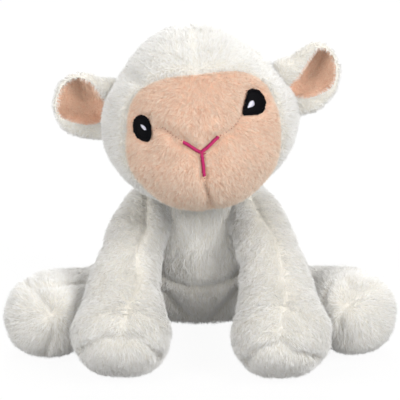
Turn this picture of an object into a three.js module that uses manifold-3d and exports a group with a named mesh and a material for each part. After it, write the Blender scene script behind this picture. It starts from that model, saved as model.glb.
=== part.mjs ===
// Seated plush lamb: pile fabric skins sewn in panels over stuffing, with pellets in the seat and the feet.
// Millimetres, +Z up. The origin is the middle of the seat, on the floor. The face looks towards -Y.
// "left" is the lamb's own left, which is +X.
import * as THREE from 'three';
import { mergeVertices } from 'three/addons/utils/BufferGeometryUtils.js';
import Module from 'manifold-3d';

const wasm = await Module();
wasm.setup();

// Fabric, seams and clearances
const plush = 4; // white fabric, backing and pile together
const velour = 3; // peach fabric, backing and pile together
const seam = 0.3; // open line between two pieces that touch
const swingGap = 0.5; // what a turning piece keeps to the piece that it turns against
const flatDepth = 0.5; // how deep the floor cuts each piece that rests on it

// Torso: a pear that leans forward into a round neck
const torso = { halfWidth: 55, halfDepth: 45, sideSeamForward: 8, baseSeamFront: 35, baseSeamBack: 12, pelletTop: 20 };
const torsoRingShares = [
  { height: 0, width: 0.62, depth: 0.6, lean: -0.1 },
  { height: 0.05, width: 0.86, depth: 0.82, lean: -0.1 },
  { height: 0.17, width: 0.97, depth: 0.95, lean: -0.1 },
  { height: 0.36, width: 1, depth: 1, lean: -0.05 },
  { height: 0.55, width: 0.93, depth: 0.93, lean: 0.2 },
  { height: 0.72, width: 0.8, depth: 0.82, lean: 0.6 },
  { height: 0.87, width: 0.68, depth: 0.74, lean: 0.9 },
];
const torsoSides = 24;

// Neck: the round top of the torso that the head turns and tilts on, with the sewing thread between them
const neck = { forward: 13, height: 92, radius: 33, thread: 1 };
const neckMiddle = new THREE.Vector3(0, -neck.forward, neck.height);
const neckCup = neck.radius + neck.thread + 2 * swingGap;
const threadShares = { lean: 0.55, rise: 0.56 };
const threadSegments = { around: 6, along: 36 };
const domeAngleShares = [0, 0.2, 0.4, 0.6, 0.8];

// Head: its own frame is rolled to the lamb's right, as it is sewn, and it narrows towards the crown and the chin
const head = {
  side: 1, forward: 29, rise: 46, halfWidth: 60.5, halfDepth: 54, topHeight: 66, chinDrop: 45, crossSeam: 44,
  muzzle: 5,
};
const headRoll = THREE.MathUtils.degToRad(-8);
const headShares = {
  jawLean: 0.42, crownTaper: 0.28, jawTaper: 0.19, muzzleWidth: 0.5, muzzleHeight: 0.4, muzzleDrop: 0.15,
};
const headSegments = { round: 24, high: 14 };

// Face panel and its seams, seen from the front in the head's frame
const face = { halfWidth: 47, top: 46, bottom: 41, start: 22 };
const facePowerShares = { top: 0.69, bottom: 0.87 };
const facePoints = 24;
const bridgeShares = [[0, 0.09], [0.23, 0.24], [0.44, 0.33], [0.6, 0.5], [0.66, 0.78], [0.72, 1.4]];

// Embroidery on the face: eyes, their glints and the mouth
const eye = { out: 32, rise: 20, askew: 3, width: 9.5, height: 16.5, thick: 1.2 };
const eyeTilt = 0.25;
const glint = { inward: 0.8, rise: 0.6, width: 3.6, height: 4.4, thick: 0.8 };
const mouth = { rise: 4, arm: 12, stem: 13.5, stroke: 2, thick: 1.2 };
const armTurn = 0.98;
const embroideryPoints = 12;

// Ears: cups of white fabric with a peach lining, hinged at the root
const ear = { outset: 8, rise: 22, back: 6, halfLength: 21, halfHeight: 22.5, halfThick: 8.5, lining: 2.5 };
const earShares = { cupLength: 0.8, cupHeight: 0.82, cupThick: 0.9, cupForward: 0.75, cupOut: 0.08 };
const earSwing = { inset: 5, angle: 0.35, steps: 2 };
const earSegments = { round: 14, high: 8 };

// Forelegs hang from the sides of the neck and reach forward to the floor
const foreleg = { standOff: 1, forward: 21, drop: 11, spread: 14, reach: 59 };
const forelegRadii = [14.5, 18.5, 20.5, 28];
const forelegSpineShares = [[0, 0, 0], [0.53, 0.44, 0.37], [0.83, 0.75, 0.71], [1, 1, 1]];
const forelegSwing = { angle: 0.61, steps: 3 };
const soleShares = { forward: 0.75, down: 0.66, depth: 0.62 };
const forefootShare = 0.35;

// Hind legs leave the sides of the seat, lower than the middle of the foot, and bend round to the front
const hindleg = { inset: 13, forward: 12, spread: 54, reach: 51, sag: 4.5 };
const hindlegRadii = [18.5, 19, 20.5, 26];
const hindlegSpineShares = [[0, 0, 1], [0.55, 0.28, 0.8], [0.88, 0.64, 0.3], [1, 1, 0]];
const hindlegSwing = { angle: 0.61, steps: 3 };
const hindfootShare = 0.3;
const limbSides = 12;
const limbRings = 7;
const capAngleShares = [0.3, 0.58, 0.82];

// Tail: a short stuffed drop, low on the back
const tail = { height: 34, sink: 4, reach: 20, droop: 15 };
const tailRadii = [6.5, 8, 9];
const tailSwing = { down: -0.2, up: 0.6, steps: 2 };

const white = new THREE.MeshStandardMaterial({ color: 0xeeebe2, roughness: 0.95, metalness: 0 });
const peach = new THREE.MeshStandardMaterial({ color: 0xf0c3a0, roughness: 0.95, metalness: 0 });
const black = new THREE.MeshStandardMaterial({ color: 0x141416, roughness: 0.45, metalness: 0 });
const silver = new THREE.MeshStandardMaterial({ color: 0xe0e0ea, roughness: 0.5, metalness: 0 });
const pink = new THREE.MeshStandardMaterial({ color: 0xc42c6e, roughness: 0.45, metalness: 0 });
const fibre = new THREE.MeshStandardMaterial({ color: 0xf6f6f4, roughness: 1, metalness: 0 });
const pellet = new THREE.MeshStandardMaterial({ color: 0xd8d8d2, roughness: 0.6, metalness: 0 });

const sides = [{ name: 'left', sign: 1 }, { name: 'right', sign: -1 }];
const xAxis = new THREE.Vector3(1, 0, 0);
const yAxis = new THREE.Vector3(0, 1, 0);
const zAxis = new THREE.Vector3(0, 0, 1);
const origin = new THREE.Vector3();
const cutterReach = 2 * (torso.halfWidth + head.topHeight + hindleg.spread + foreleg.reach);

// Solids

function solid(geometry) {
  const bare = geometry.clone();
  bare.deleteAttribute('normal');
  bare.deleteAttribute('uv');
  const merged = mergeVertices(bare);
  return new wasm.Manifold(new wasm.Mesh({
    numProp: 3,
    vertProperties: new Float32Array(merged.attributes.position.array),
    triVerts: new Uint32Array(merged.index.array),
  }));
}

function mesh(name, shape, material) {
  const { vertProperties, triVerts } = shape.getMesh();
  const geometry = new THREE.BufferGeometry();
  geometry.setAttribute('position', new THREE.BufferAttribute(Float32Array.from(vertProperties), 3));
  geometry.setIndex(new THREE.BufferAttribute(Uint32Array.from(triVerts), 1));
  const result = new THREE.Mesh(geometry, material);
  result.name = name;
  return result;
}

// A closed skin through rings of points, from a first end point to a last one
function ringSkin(first, rings, last) {
  const count = rings[0].length;
  const points = [first, ...rings.flat(), last];
  const index = [];
  const at = (ring, k) => 1 + ring * count + (k % count);
  for (let k = 0; k < count; k += 1) {
    index.push(0, at(0, k + 1), at(0, k));
    index.push(points.length - 1, at(rings.length - 1, k), at(rings.length - 1, k + 1));
    for (let ring = 0; ring < rings.length - 1; ring += 1) {
      index.push(at(ring, k), at(ring, k + 1), at(ring + 1, k));
      index.push(at(ring, k + 1), at(ring + 1, k + 1), at(ring + 1, k));
    }
  }
  const geometry = new THREE.BufferGeometry().setFromPoints(points);
  geometry.setIndex(index);
  return geometry;
}

// Everything on the far side of a plane
function beyond(point, direction) {
  const box = new THREE.BoxGeometry(2 * cutterReach, 2 * cutterReach, cutterReach);
  box.translate(0, 0, cutterReach / 2);
  box.applyQuaternion(new THREE.Quaternion().setFromUnitVectors(zAxis, direction.clone().normalize()));
  box.translate(point.x, point.y, point.z);
  return solid(box);
}

// Splits a shape at a plane and leaves the seam open between the halves: [near side, far side]
function split(shape, point, direction) {
  const half = direction.clone().setLength(seam / 2);
  const near = shape.subtract(beyond(point.clone().sub(half), direction));
  const far = shape.intersect(beyond(point.clone().add(half), direction));
  return [near, far];
}

function turnAbout(pivot, axis, angle) {
  return new THREE.Matrix4().makeTranslation(pivot)
    .multiply(new THREE.Matrix4().makeRotationAxis(axis, angle))
    .multiply(new THREE.Matrix4().makeTranslation(pivot.clone().negate()));
}

// Cuts a swinging shape clear of what stays still, at each step of its swing
function clearOf(shape, still, hinge) {
  let result = shape;
  for (let step = 0; step <= hinge.steps; step += 1) {
    const angle = THREE.MathUtils.lerp(hinge.from, hinge.to, step / hinge.steps);
    const turned = still.clone().applyMatrix4(turnAbout(hinge.pivot, hinge.axis, -angle));
    result = result.subtract(solid(turned));
  }
  return result;
}

const floorCutter = beyond(origin, zAxis.clone().negate());

// Torso

function torsoRing(halfX, halfY, y, z) {
  return Array.from({ length: torsoSides }, (_, k) => {
    const angle = (2 * Math.PI * k) / torsoSides;
    return new THREE.Vector3(halfX * Math.cos(angle), y + halfY * Math.sin(angle), z);
  });
}

function torsoGeometry(inset) {
  const rings = torsoRingShares.map((share) => torsoRing(
    torso.halfWidth * share.width - inset,
    torso.halfDepth * share.depth - inset,
    neckMiddle.y * share.lean,
    (neck.height + flatDepth) * share.height - flatDepth + inset * (1 - share.height),
  ));
  const domeRadius = neck.radius - inset;
  for (const share of domeAngleShares) {
    const angle = share * Math.PI / 2;
    const ringRadius = domeRadius * Math.cos(angle);
    rings.push(torsoRing(ringRadius, ringRadius, neckMiddle.y, neckMiddle.z + domeRadius * Math.sin(angle)));
  }
  const bottom = new THREE.Vector3(0, neckMiddle.y * torsoRingShares[0].lean, rings[0][0].z);
  return ringSkin(bottom, rings, neckMiddle.clone().addScaledVector(zAxis, domeRadius));
}

function torsoPieces() {
  const shell = solid(torsoGeometry(0)).subtract(floorCutter).subtract(solid(torsoGeometry(plush)));
  const seamSlope = new THREE.Vector3(0, torso.baseSeamFront - torso.baseSeamBack, 2 * torso.halfDepth);
  const seamPoint = new THREE.Vector3(0, -torso.halfDepth, torso.baseSeamFront);
  const [base, upper] = split(shell, seamPoint, seamSlope);
  const [front, back] = split(upper, new THREE.Vector3(0, -torso.sideSeamForward, 0), yAxis);
  const [backRight, backLeft] = split(back, origin, xAxis);
  const core = solid(torsoGeometry(plush + seam));
  const [pellets, stuffing] = split(core, new THREE.Vector3(0, 0, torso.pelletTop), zAxis);
  return [
    mesh('torso_front_panel', front, white),
    mesh('torso_back_panel_left', backLeft, white),
    mesh('torso_back_panel_right', backRight, white),
    mesh('torso_base_panel', base, white),
    mesh('torso_stuffing', stuffing, fibre),
    mesh('seat_pellet_pouch', pellets, pellet),
  ];
}

// The thread that sews the head to the neck: a loop on the neck's round top, low in front and high behind
function neckThread() {
  const loopRadius = neck.radius + swingGap + neck.thread / 2;
  const tilt = new THREE.Vector3(0, -threadShares.lean, 1).normalize();
  const height = loopRadius * threadShares.rise;
  const ringRadius = Math.sqrt(loopRadius ** 2 - height ** 2);
  const loop = new THREE.TorusGeometry(ringRadius, neck.thread / 2, threadSegments.around, threadSegments.along);
  loop.applyQuaternion(new THREE.Quaternion().setFromUnitVectors(zAxis, tilt));
  loop.translate(...tilt.multiplyScalar(height).add(neckMiddle));
  return mesh('neck_stitching', solid(loop), white);
}

// Head

const headFrame = new THREE.Matrix4()
  .makeTranslation(head.side, neckMiddle.y - head.forward, neckMiddle.z + head.rise)
  .multiply(new THREE.Matrix4().makeRotationY(headRoll));

function headPoint(direction, inset) {
  const { x, y, z } = direction;
  const height = (z > 0 ? head.topHeight : head.chinDrop) - inset;
  const taper = 1 - headShares.crownTaper * Math.max(z, 0) ** 2 - headShares.jawTaper * Math.max(-z, 0) ** 1.5;
  const bulge = Math.exp(-((x / headShares.muzzleWidth) ** 2)
    - ((z + headShares.muzzleDrop) / headShares.muzzleHeight) ** 2);
  const muzzle = head.muzzle * bulge * Math.max(-y, 0);
  return new THREE.Vector3(
    (head.halfWidth - inset) * x * taper,
    (head.halfDepth - inset) * y - muzzle + headShares.jawLean * Math.min(height * z, 0),
    height * z,
  );
}

function headGeometry(inset) {
  const ball = new THREE.SphereGeometry(1, headSegments.round, headSegments.high).rotateX(Math.PI / 2);
  const position = ball.attributes.position;
  for (let k = 0; k < position.count; k += 1) {
    const point = headPoint(new THREE.Vector3().fromBufferAttribute(position, k), inset);
    position.setXYZ(k, point.x, point.y, point.z);
  }
  return ball;
}

// An outline seen from the front, run out past the nose
function facePrism(outline) {
  const depth = head.halfDepth + head.muzzle + head.chinDrop;
  const prism = new THREE.ExtrudeGeometry(new THREE.Shape(outline), { depth, bevelEnabled: false });
  return solid(prism.rotateX(Math.PI / 2).translate(0, -face.start, 0));
}

function faceOutline(grow) {
  return Array.from({ length: facePoints }, (_, k) => {
    const angle = (2 * Math.PI * k) / facePoints;
    const high = Math.sin(angle) > 0;
    const power = high ? facePowerShares.top : facePowerShares.bottom;
    const halfHeight = (high ? face.top : face.bottom) + grow;
    return new THREE.Vector2(
      Math.sign(Math.cos(angle)) * Math.abs(Math.cos(angle)) ** power * (face.halfWidth + grow),
      Math.sign(Math.sin(angle)) * Math.abs(Math.sin(angle)) ** power * halfHeight,
    );
  });
}

function bridgeOutline(grow) {
  const [tip, ...edge] = bridgeShares.map(([x, z]) => new THREE.Vector2(x * face.halfWidth, z * face.top));
  const half = edge.map((point) => new THREE.Vector2(point.x + grow, point.y));
  const other = half.map((point) => new THREE.Vector2(-point.x, point.y)).reverse();
  return [new THREE.Vector2(tip.x, tip.y - grow), ...half, ...other];
}

function headPieces() {
  const neckPoint = neckMiddle.clone().applyMatrix4(headFrame.clone().invert());
  const cup = solid(new THREE.SphereGeometry(neckCup, torsoSides, headSegments.high)
    .rotateX(Math.PI / 2).translate(neckPoint.x, neckPoint.y, neckPoint.z));
  const outer = solid(headGeometry(0)).subtract(cup);
  const hoodShell = outer.subtract(solid(headGeometry(plush))).subtract(facePrism(faceOutline(seam / 2)));
  const faceShell = outer.subtract(solid(headGeometry(velour))).intersect(facePrism(faceOutline(-seam / 2)));
  const [hood, crown] = split(hoodShell, new THREE.Vector3(0, 0, head.crossSeam), zAxis);
  const [hoodRight, hoodLeft] = split(hood, origin, xAxis);
  const [crownRight, crownLeft] = split(crown, origin, xAxis);
  const bridge = faceShell.intersect(facePrism(bridgeOutline(-seam / 2)));
  const cheeks = faceShell.subtract(facePrism(bridgeOutline(seam / 2)));
  const [cheekRight, cheekLeft] = split(cheeks, origin, xAxis);
  return [
    mesh('crown_left', crownLeft, white),
    mesh('crown_right', crownRight, white),
    mesh('hood_left', hoodLeft, white),
    mesh('hood_right', hoodRight, white),
    mesh('face_bridge', bridge, peach),
    mesh('cheek_left', cheekLeft, peach),
    mesh('cheek_right', cheekRight, peach),
    mesh('head_stuffing', solid(headGeometry(plush + seam)).subtract(cup), fibre),
    ...embroidery(),
  ];
}

// Embroidery follows the face: an outline cut from a layer that lies a seam's gap above the fabric

function faceLayer(outline, low, high) {
  return solid(headGeometry(-high)).subtract(solid(headGeometry(-low))).intersect(facePrism(outline));
}

function ellipse(width, height, tilt, centre) {
  return Array.from({ length: embroideryPoints }, (_, k) => {
    const angle = (2 * Math.PI * k) / embroideryPoints;
    return new THREE.Vector2(Math.cos(angle) * width / 2, Math.sin(angle) * height / 2)
      .rotateAround(new THREE.Vector2(), tilt).add(centre);
  });
}

function stroke(start, angle, length) {
  const along = new THREE.Vector2(0, 1).rotateAround(new THREE.Vector2(), angle);
  const across = new THREE.Vector2(along.y, -along.x).multiplyScalar(mouth.stroke / 2);
  const from = start.clone().addScaledVector(along, -mouth.stroke / 2);
  const to = start.clone().addScaledVector(along, length);
  return [from.clone().sub(across), from.clone().add(across), to.clone().add(across), to.clone().sub(across)];
}

function embroidery() {
  const pieces = [];
  const eyeTop = seam + eye.thick;
  for (const { name, sign } of sides) {
    const centre = new THREE.Vector2(sign * eye.out, eye.rise + sign * eye.askew);
    const patch = faceLayer(ellipse(eye.width, eye.height, eyeTilt, centre), seam, eyeTop);
    pieces.push(mesh(`eye_${name}`, patch, black));
    const spark = centre.clone().add(new THREE.Vector2(-sign * glint.inward, glint.rise));
    const sparkOutline = ellipse(glint.width, glint.height, eyeTilt, spark);
    const sparkPatch = faceLayer(sparkOutline, eyeTop + seam, eyeTop + seam + glint.thick);
    pieces.push(mesh(`eye_glint_${name}`, sparkPatch, silver));
  }
  const middle = new THREE.Vector2(0, mouth.rise);
  const strokes = [[armTurn, mouth.arm], [-armTurn, mouth.arm], [Math.PI, mouth.stem]];
  const layers = strokes.map(([angle, length]) => faceLayer(stroke(middle, angle, length), seam, seam + mouth.thick));
  pieces.push(mesh('mouth_stitch', layers.reduce((all, layer) => all.add(layer)), pink));
  return pieces;
}

// Ears

function earBall(length, thick, height, centre) {
  const ball = new THREE.SphereGeometry(1, earSegments.round, earSegments.high);
  return ball.scale(length, thick, height).translate(centre.x, centre.y, centre.z);
}

function earPieces({ name, sign }) {
  const centre = new THREE.Vector3(sign * (head.halfWidth + ear.outset), ear.back, ear.rise);
  const hinge = {
    pivot: new THREE.Vector3(sign * (head.halfWidth - earSwing.inset), ear.back, ear.rise),
    axis: zAxis,
    from: -earSwing.angle,
    to: earSwing.angle,
    steps: earSwing.steps,
  };
  const cupCentre = centre.clone();
  cupCentre.x += sign * ear.halfLength * earShares.cupOut;
  cupCentre.y -= ear.halfThick * earShares.cupForward;
  const cupSize = [
    ear.halfLength * earShares.cupLength, ear.halfThick * earShares.cupThick, ear.halfHeight * earShares.cupHeight,
  ];
  const cup = solid(earBall(...cupSize, cupCentre));
  const frontCentre = cupCentre.clone();
  frontCentre.y -= ear.lining;
  const liningBlank = solid(earBall(...cupSize.map((size) => size - seam), cupCentre));
  const outerBlank = solid(earBall(ear.halfLength, ear.halfThick, ear.halfHeight, centre));
  const lining = liningBlank.intersect(outerBlank).subtract(solid(earBall(...cupSize, frontCentre)));
  const still = headGeometry(-swingGap);
  return [
    mesh(`ear_outer_${name}`, clearOf(outerBlank.subtract(cup), still, hinge), white),
    mesh(`ear_lining_${name}`, clearOf(lining, still, hinge), peach),
  ];
}

// Legs and tail

function radiusAt(radii, t) {
  const step = Math.min(Math.floor(t * (radii.length - 1)), radii.length - 2);
  return THREE.MathUtils.lerp(radii[step], radii[step + 1], t * (radii.length - 1) - step);
}

function limbGeometry(points, radii, across, inset) {
  const spine = new THREE.CatmullRomCurve3(points);
  const ring = (t, lift) => {
    const along = spine.getTangent(t);
    const side = across.clone().addScaledVector(along, -across.dot(along)).normalize();
    const front = along.clone().cross(side);
    const full = radiusAt(radii, t) - inset;
    const centre = spine.getPoint(t).addScaledVector(along, full * Math.sin(lift));
    return Array.from({ length: limbSides }, (_, k) => {
      const angle = (2 * Math.PI * k) / limbSides;
      return centre.clone()
        .addScaledVector(side, full * Math.cos(lift) * Math.cos(angle))
        .addScaledVector(front, full * Math.cos(lift) * Math.sin(angle));
    });
  };
  const endPoint = (t, turn) => spine.getPoint(t)
    .addScaledVector(spine.getTangent(t), turn * (radiusAt(radii, t) - inset));
  const capAngles = capAngleShares.map((share) => share * Math.PI / 2);
  const rings = [...capAngles].reverse().map((angle) => ring(0, -angle));
  for (let k = 0; k <= limbRings; k += 1) rings.push(ring(k / limbRings, 0));
  rings.push(...capAngles.map((angle) => ring(1, angle)));
  return ringSkin(endPoint(0, -1), rings, endPoint(1, 1));
}

function forelegPieces({ name, sign }) {
  const shoulder = new THREE.Vector3(
    sign * (neck.radius + foreleg.standOff), neckMiddle.y - foreleg.forward, neckMiddle.z - foreleg.drop,
  );
  const footRadius = forelegRadii.at(-1);
  const fall = shoulder.z - (footRadius - flatDepth);
  const points = forelegSpineShares.map(([x, y, z]) => new THREE.Vector3(
    shoulder.x + sign * foreleg.spread * x, shoulder.y - foreleg.reach * y, shoulder.z - fall * z,
  ));
  const foot = points.at(-1);
  const hinge = {
    pivot: shoulder, axis: xAxis.clone().negate(), from: 0, to: forelegSwing.angle, steps: forelegSwing.steps,
  };
  const still = torsoGeometry(-swingGap);
  const layer = (inset) => solid(limbGeometry(points, forelegRadii, xAxis, inset));
  const skin = clearOf(layer(0).subtract(layer(plush)).subtract(floorCutter), still, hinge);
  const core = clearOf(layer(plush + seam), still, hinge);
  const soleDirection = new THREE.Vector3(0, -soleShares.forward, -soleShares.down).normalize();
  const solePoint = foot.clone().addScaledVector(soleDirection, footRadius * soleShares.depth);
  const [legSkin, sole] = split(skin, solePoint, soleDirection);
  const along = foot.clone().sub(points.at(-2)).normalize();
  const pelletPoint = foot.clone().addScaledVector(along, -footRadius * forefootShare);
  const [stuffing, pellets] = split(core, pelletPoint, along);
  return [
    mesh(`foreleg_skin_${name}`, legSkin, white),
    mesh(`forefoot_sole_${name}`, sole, white),
    mesh(`foreleg_stuffing_${name}`, stuffing, fibre),
    mesh(`forefoot_pellets_${name}`, pellets, pellet),
  ];
}

function hindlegPieces({ name, sign }) {
  const footRadius = hindlegRadii.at(-1);
  const footHeight = footRadius - flatDepth;
  const hip = new THREE.Vector3(sign * (torso.halfWidth - hindleg.inset), -hindleg.forward, footHeight - hindleg.sag);
  const points = hindlegSpineShares.map(([x, y, low]) => new THREE.Vector3(
    hip.x + sign * hindleg.spread * x, hip.y - hindleg.reach * y, footHeight - hindleg.sag * low,
  ));
  const foot = points.at(-1);
  const hinge = {
    pivot: hip, axis: zAxis.clone().multiplyScalar(sign), from: 0, to: hindlegSwing.angle, steps: hindlegSwing.steps,
  };
  const still = torsoGeometry(-swingGap);
  const layer = (inset) => solid(limbGeometry(points, hindlegRadii, zAxis, inset));
  const skin = clearOf(layer(0).subtract(layer(plush)).subtract(floorCutter), still, hinge);
  const core = clearOf(layer(plush + seam), still, hinge);
  const along = foot.clone().sub(points.at(-2)).normalize();
  const pelletPoint = foot.clone().addScaledVector(along, -footRadius * hindfootShare);
  const [stuffing, pellets] = split(core, pelletPoint, along);
  return [
    mesh(`hindleg_skin_${name}`, skin, white),
    mesh(`hindleg_stuffing_${name}`, stuffing, fibre),
    mesh(`hindfoot_pellets_${name}`, pellets, pellet),
  ];
}

function tailPieces() {
  const root = new THREE.Vector3(0, torso.halfDepth - tail.sink, tail.height);
  const points = [0, 1 / 2, 1].map((share) => new THREE.Vector3(
    0, root.y + tail.reach * share, root.z - tail.droop * share,
  ));
  const hinge = { pivot: root, axis: xAxis, from: tailSwing.down, to: tailSwing.up, steps: tailSwing.steps };
  const blank = solid(limbGeometry(points, tailRadii, xAxis, 0));
  return [mesh('tail', clearOf(blank, torsoGeometry(-swingGap), hinge), white)];
}

const lamb = new THREE.Group();
lamb.add(...torsoPieces());
lamb.add(neckThread());
const headGroup = new THREE.Group();
headGroup.add(...headPieces());
for (const side of sides) {
  headGroup.add(...earPieces(side));
  lamb.add(...forelegPieces(side));
  lamb.add(...hindlegPieces(side));
}
headGroup.applyMatrix4(headFrame);
lamb.add(headGroup);
lamb.add(...tailPieces());

export default lamb;
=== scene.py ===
# A seated plush lamb: white pile over stuffing, a peach face with embroidered eyes and mouth
import math
import bpy
import numpy as np
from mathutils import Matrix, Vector, noise
from mathutils.bvhtree import BVHTree


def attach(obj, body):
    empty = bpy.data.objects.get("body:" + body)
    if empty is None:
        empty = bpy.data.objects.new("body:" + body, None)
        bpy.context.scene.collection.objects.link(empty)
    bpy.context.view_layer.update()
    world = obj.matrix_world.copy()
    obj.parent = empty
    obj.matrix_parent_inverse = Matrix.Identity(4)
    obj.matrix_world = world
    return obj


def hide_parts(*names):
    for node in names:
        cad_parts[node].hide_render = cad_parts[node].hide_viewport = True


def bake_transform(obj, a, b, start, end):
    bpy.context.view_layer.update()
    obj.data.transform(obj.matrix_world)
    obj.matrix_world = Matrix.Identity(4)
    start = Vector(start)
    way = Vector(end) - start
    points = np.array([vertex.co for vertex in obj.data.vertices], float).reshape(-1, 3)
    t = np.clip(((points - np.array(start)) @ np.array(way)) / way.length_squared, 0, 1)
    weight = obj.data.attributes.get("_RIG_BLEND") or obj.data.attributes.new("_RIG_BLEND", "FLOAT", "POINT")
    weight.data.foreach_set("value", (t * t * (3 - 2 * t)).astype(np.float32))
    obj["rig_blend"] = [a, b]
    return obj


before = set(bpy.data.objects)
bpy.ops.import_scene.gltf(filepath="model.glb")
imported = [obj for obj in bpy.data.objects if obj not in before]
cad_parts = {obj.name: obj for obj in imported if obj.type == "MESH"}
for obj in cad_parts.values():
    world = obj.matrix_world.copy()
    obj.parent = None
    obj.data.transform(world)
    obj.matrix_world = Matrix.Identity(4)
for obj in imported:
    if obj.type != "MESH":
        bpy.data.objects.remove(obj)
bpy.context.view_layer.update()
mm = 0.001
scene = bpy.context.scene
scene.view_settings.view_transform = "Standard"


def addObject(name, data):
    made = bpy.data.objects.new(name, data)
    scene.collection.objects.link(made)
    return made


def columns(*parts):  # points from their coordinates
    return np.stack(np.broadcast_arrays(*parts), -1)


# The camera stands where the photographer stood

cameraValues = {
    "target": (0.0, -0.044, 0.0925),
    "distance": 0.8,
    "elevation": 20.0,
    "lens": 116.1,
    "sensor": 36.0,
    "pixels": 400,
}


def makeCamera(values):
    rise = math.radians(values["elevation"])
    back = Vector((0, -math.cos(rise), math.sin(rise)))
    data = bpy.data.cameras.new("studioCamera")
    data.lens = values["lens"]
    data.sensor_width = values["sensor"]
    made = addObject("studioCamera", data)
    made.location = Vector(values["target"]) + back * values["distance"]
    made.rotation_euler = (math.pi / 2 - rise, 0, 0)
    scene.camera = made
    return made


camera = makeCamera(cameraValues)
focal = cameraValues["lens"] / cameraValues["sensor"] * cameraValues["pixels"]
middle = cameraValues["pixels"] / 2


def viewRay(x, y):  # from the camera through a pixel of the photograph
    direction = Vector(((x - middle) / focal, (middle - y) / focal, -1)).normalized()
    direction.rotate(camera.rotation_euler)
    return camera.location.copy(), direction


def toPhoto(points):  # millimetre points to pixels of the photograph
    turn = np.array(camera.rotation_euler.to_matrix())
    local = (np.asarray(points) * mm - np.array(camera.location)) @ turn
    depth = -local[:, 2]
    return columns(middle + focal * local[:, 0] / depth, middle - focal * local[:, 1] / depth)


# Node trees, of materials and of Geometry Nodes

class TreeMaker:
    def __init__(self, tree):
        self.tree = tree

    def fill(self, made, inputs):
        for key, value in inputs.items():
            if isinstance(value, bpy.types.NodeSocket):
                self.tree.links.new(value, made.inputs[key])
            else:
                made.inputs[key].default_value = value
        return made

    def node(self, kind, inputs=(), **settings):
        made = self.tree.nodes.new(kind)
        for key, value in settings.items():
            setattr(made, key, value)
        return self.fill(made, dict(inputs))

    def math(self, operation, a, b=0.0):
        return self.node("ShaderNodeMath", {0: a, 1: b}, operation=operation).outputs[0]

    def times(self, first, *others):
        for other in others:
            first = self.math("MULTIPLY", first, other)
        return first

    def plus(self, first, *others):
        for other in others:
            first = self.math("ADD", first, other)
        return first

    def vector(self, operation, a, b):
        other = "Scale" if operation == "SCALE" else 1
        return self.node("ShaderNodeVectorMath", {0: a, other: b}, operation=operation).outputs[0]

    def join(self, x, y, z):
        return self.node("ShaderNodeCombineXYZ", {"X": x, "Y": y, "Z": z}).outputs[0]

    def attribute(self, name, kind="FLOAT"):
        return self.node("GeometryNodeInputNamedAttribute", {"Name": name}, data_type=kind).outputs[0]

    def store(self, geometry, name, kind, domain, value):
        inputs = {"Geometry": geometry, "Name": name, "Value": value}
        return self.node("GeometryNodeStoreNamedAttribute", inputs, data_type=kind, domain=domain).outputs[0]

    def random(self, low, high, seed):
        inputs = {2: low, 3: high, "Seed": seed}
        return self.node("FunctionNodeRandomValue", inputs, data_type="FLOAT").outputs[1]

    def scatter(self, seed):  # a vector with all parts from -1 to 1
        inputs = {0: (-1.0,) * 3, 1: (1.0,) * 3, "Seed": seed}
        return self.node("FunctionNodeRandomValue", inputs, data_type="FLOAT_VECTOR").outputs[0]

    def noise(self, scale, detail=1.0):
        return self.node("ShaderNodeTexNoise", {"Scale": scale, "Detail": detail}).outputs

    def mix(self, kind, share, a, b):
        made = self.node("ShaderNodeMix", {}, data_type="RGBA", blend_type=kind)
        return self.fill(made, {0: share, 6: a, 7: b}).outputs[2]

    def ramp(self, source, stops):
        made = self.node("ShaderNodeValToRGB", {"Fac": source})
        while len(made.color_ramp.elements) < len(stops):
            made.color_ramp.elements.new(0.5)
        for element, (position, color) in zip(made.color_ramp.elements, stops):
            element.position = position
            element.color = (*color, 1)
        return made.outputs["Color"]


# Materials

def newMaterial(name, roughness, sheen=0.0, gloss=0.2):
    material = bpy.data.materials.new(name)
    material.use_nodes = True
    make = TreeMaker(material.node_tree)
    shader = make.fill(material.node_tree.nodes["Principled BSDF"], {
        "Roughness": roughness, "Specular IOR Level": gloss, "Sheen Weight": sheen, "Sheen Roughness": 0.5})
    return material, make, shader


def backingMaterial(name, light, dark):  # the knitted backing and the pile roots under the strands
    material, make, shader = newMaterial(name, 0.95)
    place = make.node("ShaderNodeTexCoord").outputs["Object"]
    broad = make.node("ShaderNodeTexNoise", {"Vector": place, "Scale": 90, "Detail": 3}).outputs["Fac"]
    fine = make.node("ShaderNodeTexNoise", {"Vector": place, "Scale": 1400, "Detail": 4}).outputs["Fac"]
    soft = make.ramp(broad, [(0.3, dark), (0.7, light)])
    # the specks are darker where the bump sinks: painted shade in the dips of the knit
    specks = make.ramp(fine, [(0.35, dark), (0.65, light)])
    bump = make.node("ShaderNodeBump", {"Strength": 0.6, "Distance": 0.0006, "Height": fine})
    make.fill(shader, {"Base Color": make.mix("MIX", 0.5, soft, specks), "Normal": bump.outputs["Normal"]})
    return material


def strandMaterial(name, root, low, tip, dull=(0.8, 0.78, 0.75), roughness=0.9, sheen=0.1, gloss=0.2):
    material, make, shader = newMaterial(name, roughness, sheen, gloss)
    chart = make.node("ShaderNodeUVMap", uv_map="OFBake")  # x: strand tone, y: root to tip
    parts = make.node("ShaderNodeSeparateXYZ", {"Vector": chart.outputs["UV"]}).outputs
    # darker, warmer towards the root: painted shade deep in the pile
    along = make.ramp(parts["Y"], [(0.0, root), (0.35, low), (0.8, tip)])
    tone = make.ramp(parts["X"], [(0.0, dull), (0.55, (0.96, 0.955, 0.945)), (1.0, (1, 1, 1))])
    make.fill(shader, {"Base Color": make.mix("MULTIPLY", 1.0, along, tone)})
    return material


def threadMaterial(name, ends, middle, roughness, gloss=0.2):
    # each thread is darker at its ends than in its middle: painted shade where it dips into the cloth
    return strandMaterial(name, ends, middle, ends, roughness=roughness, sheen=0, gloss=gloss)


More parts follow.
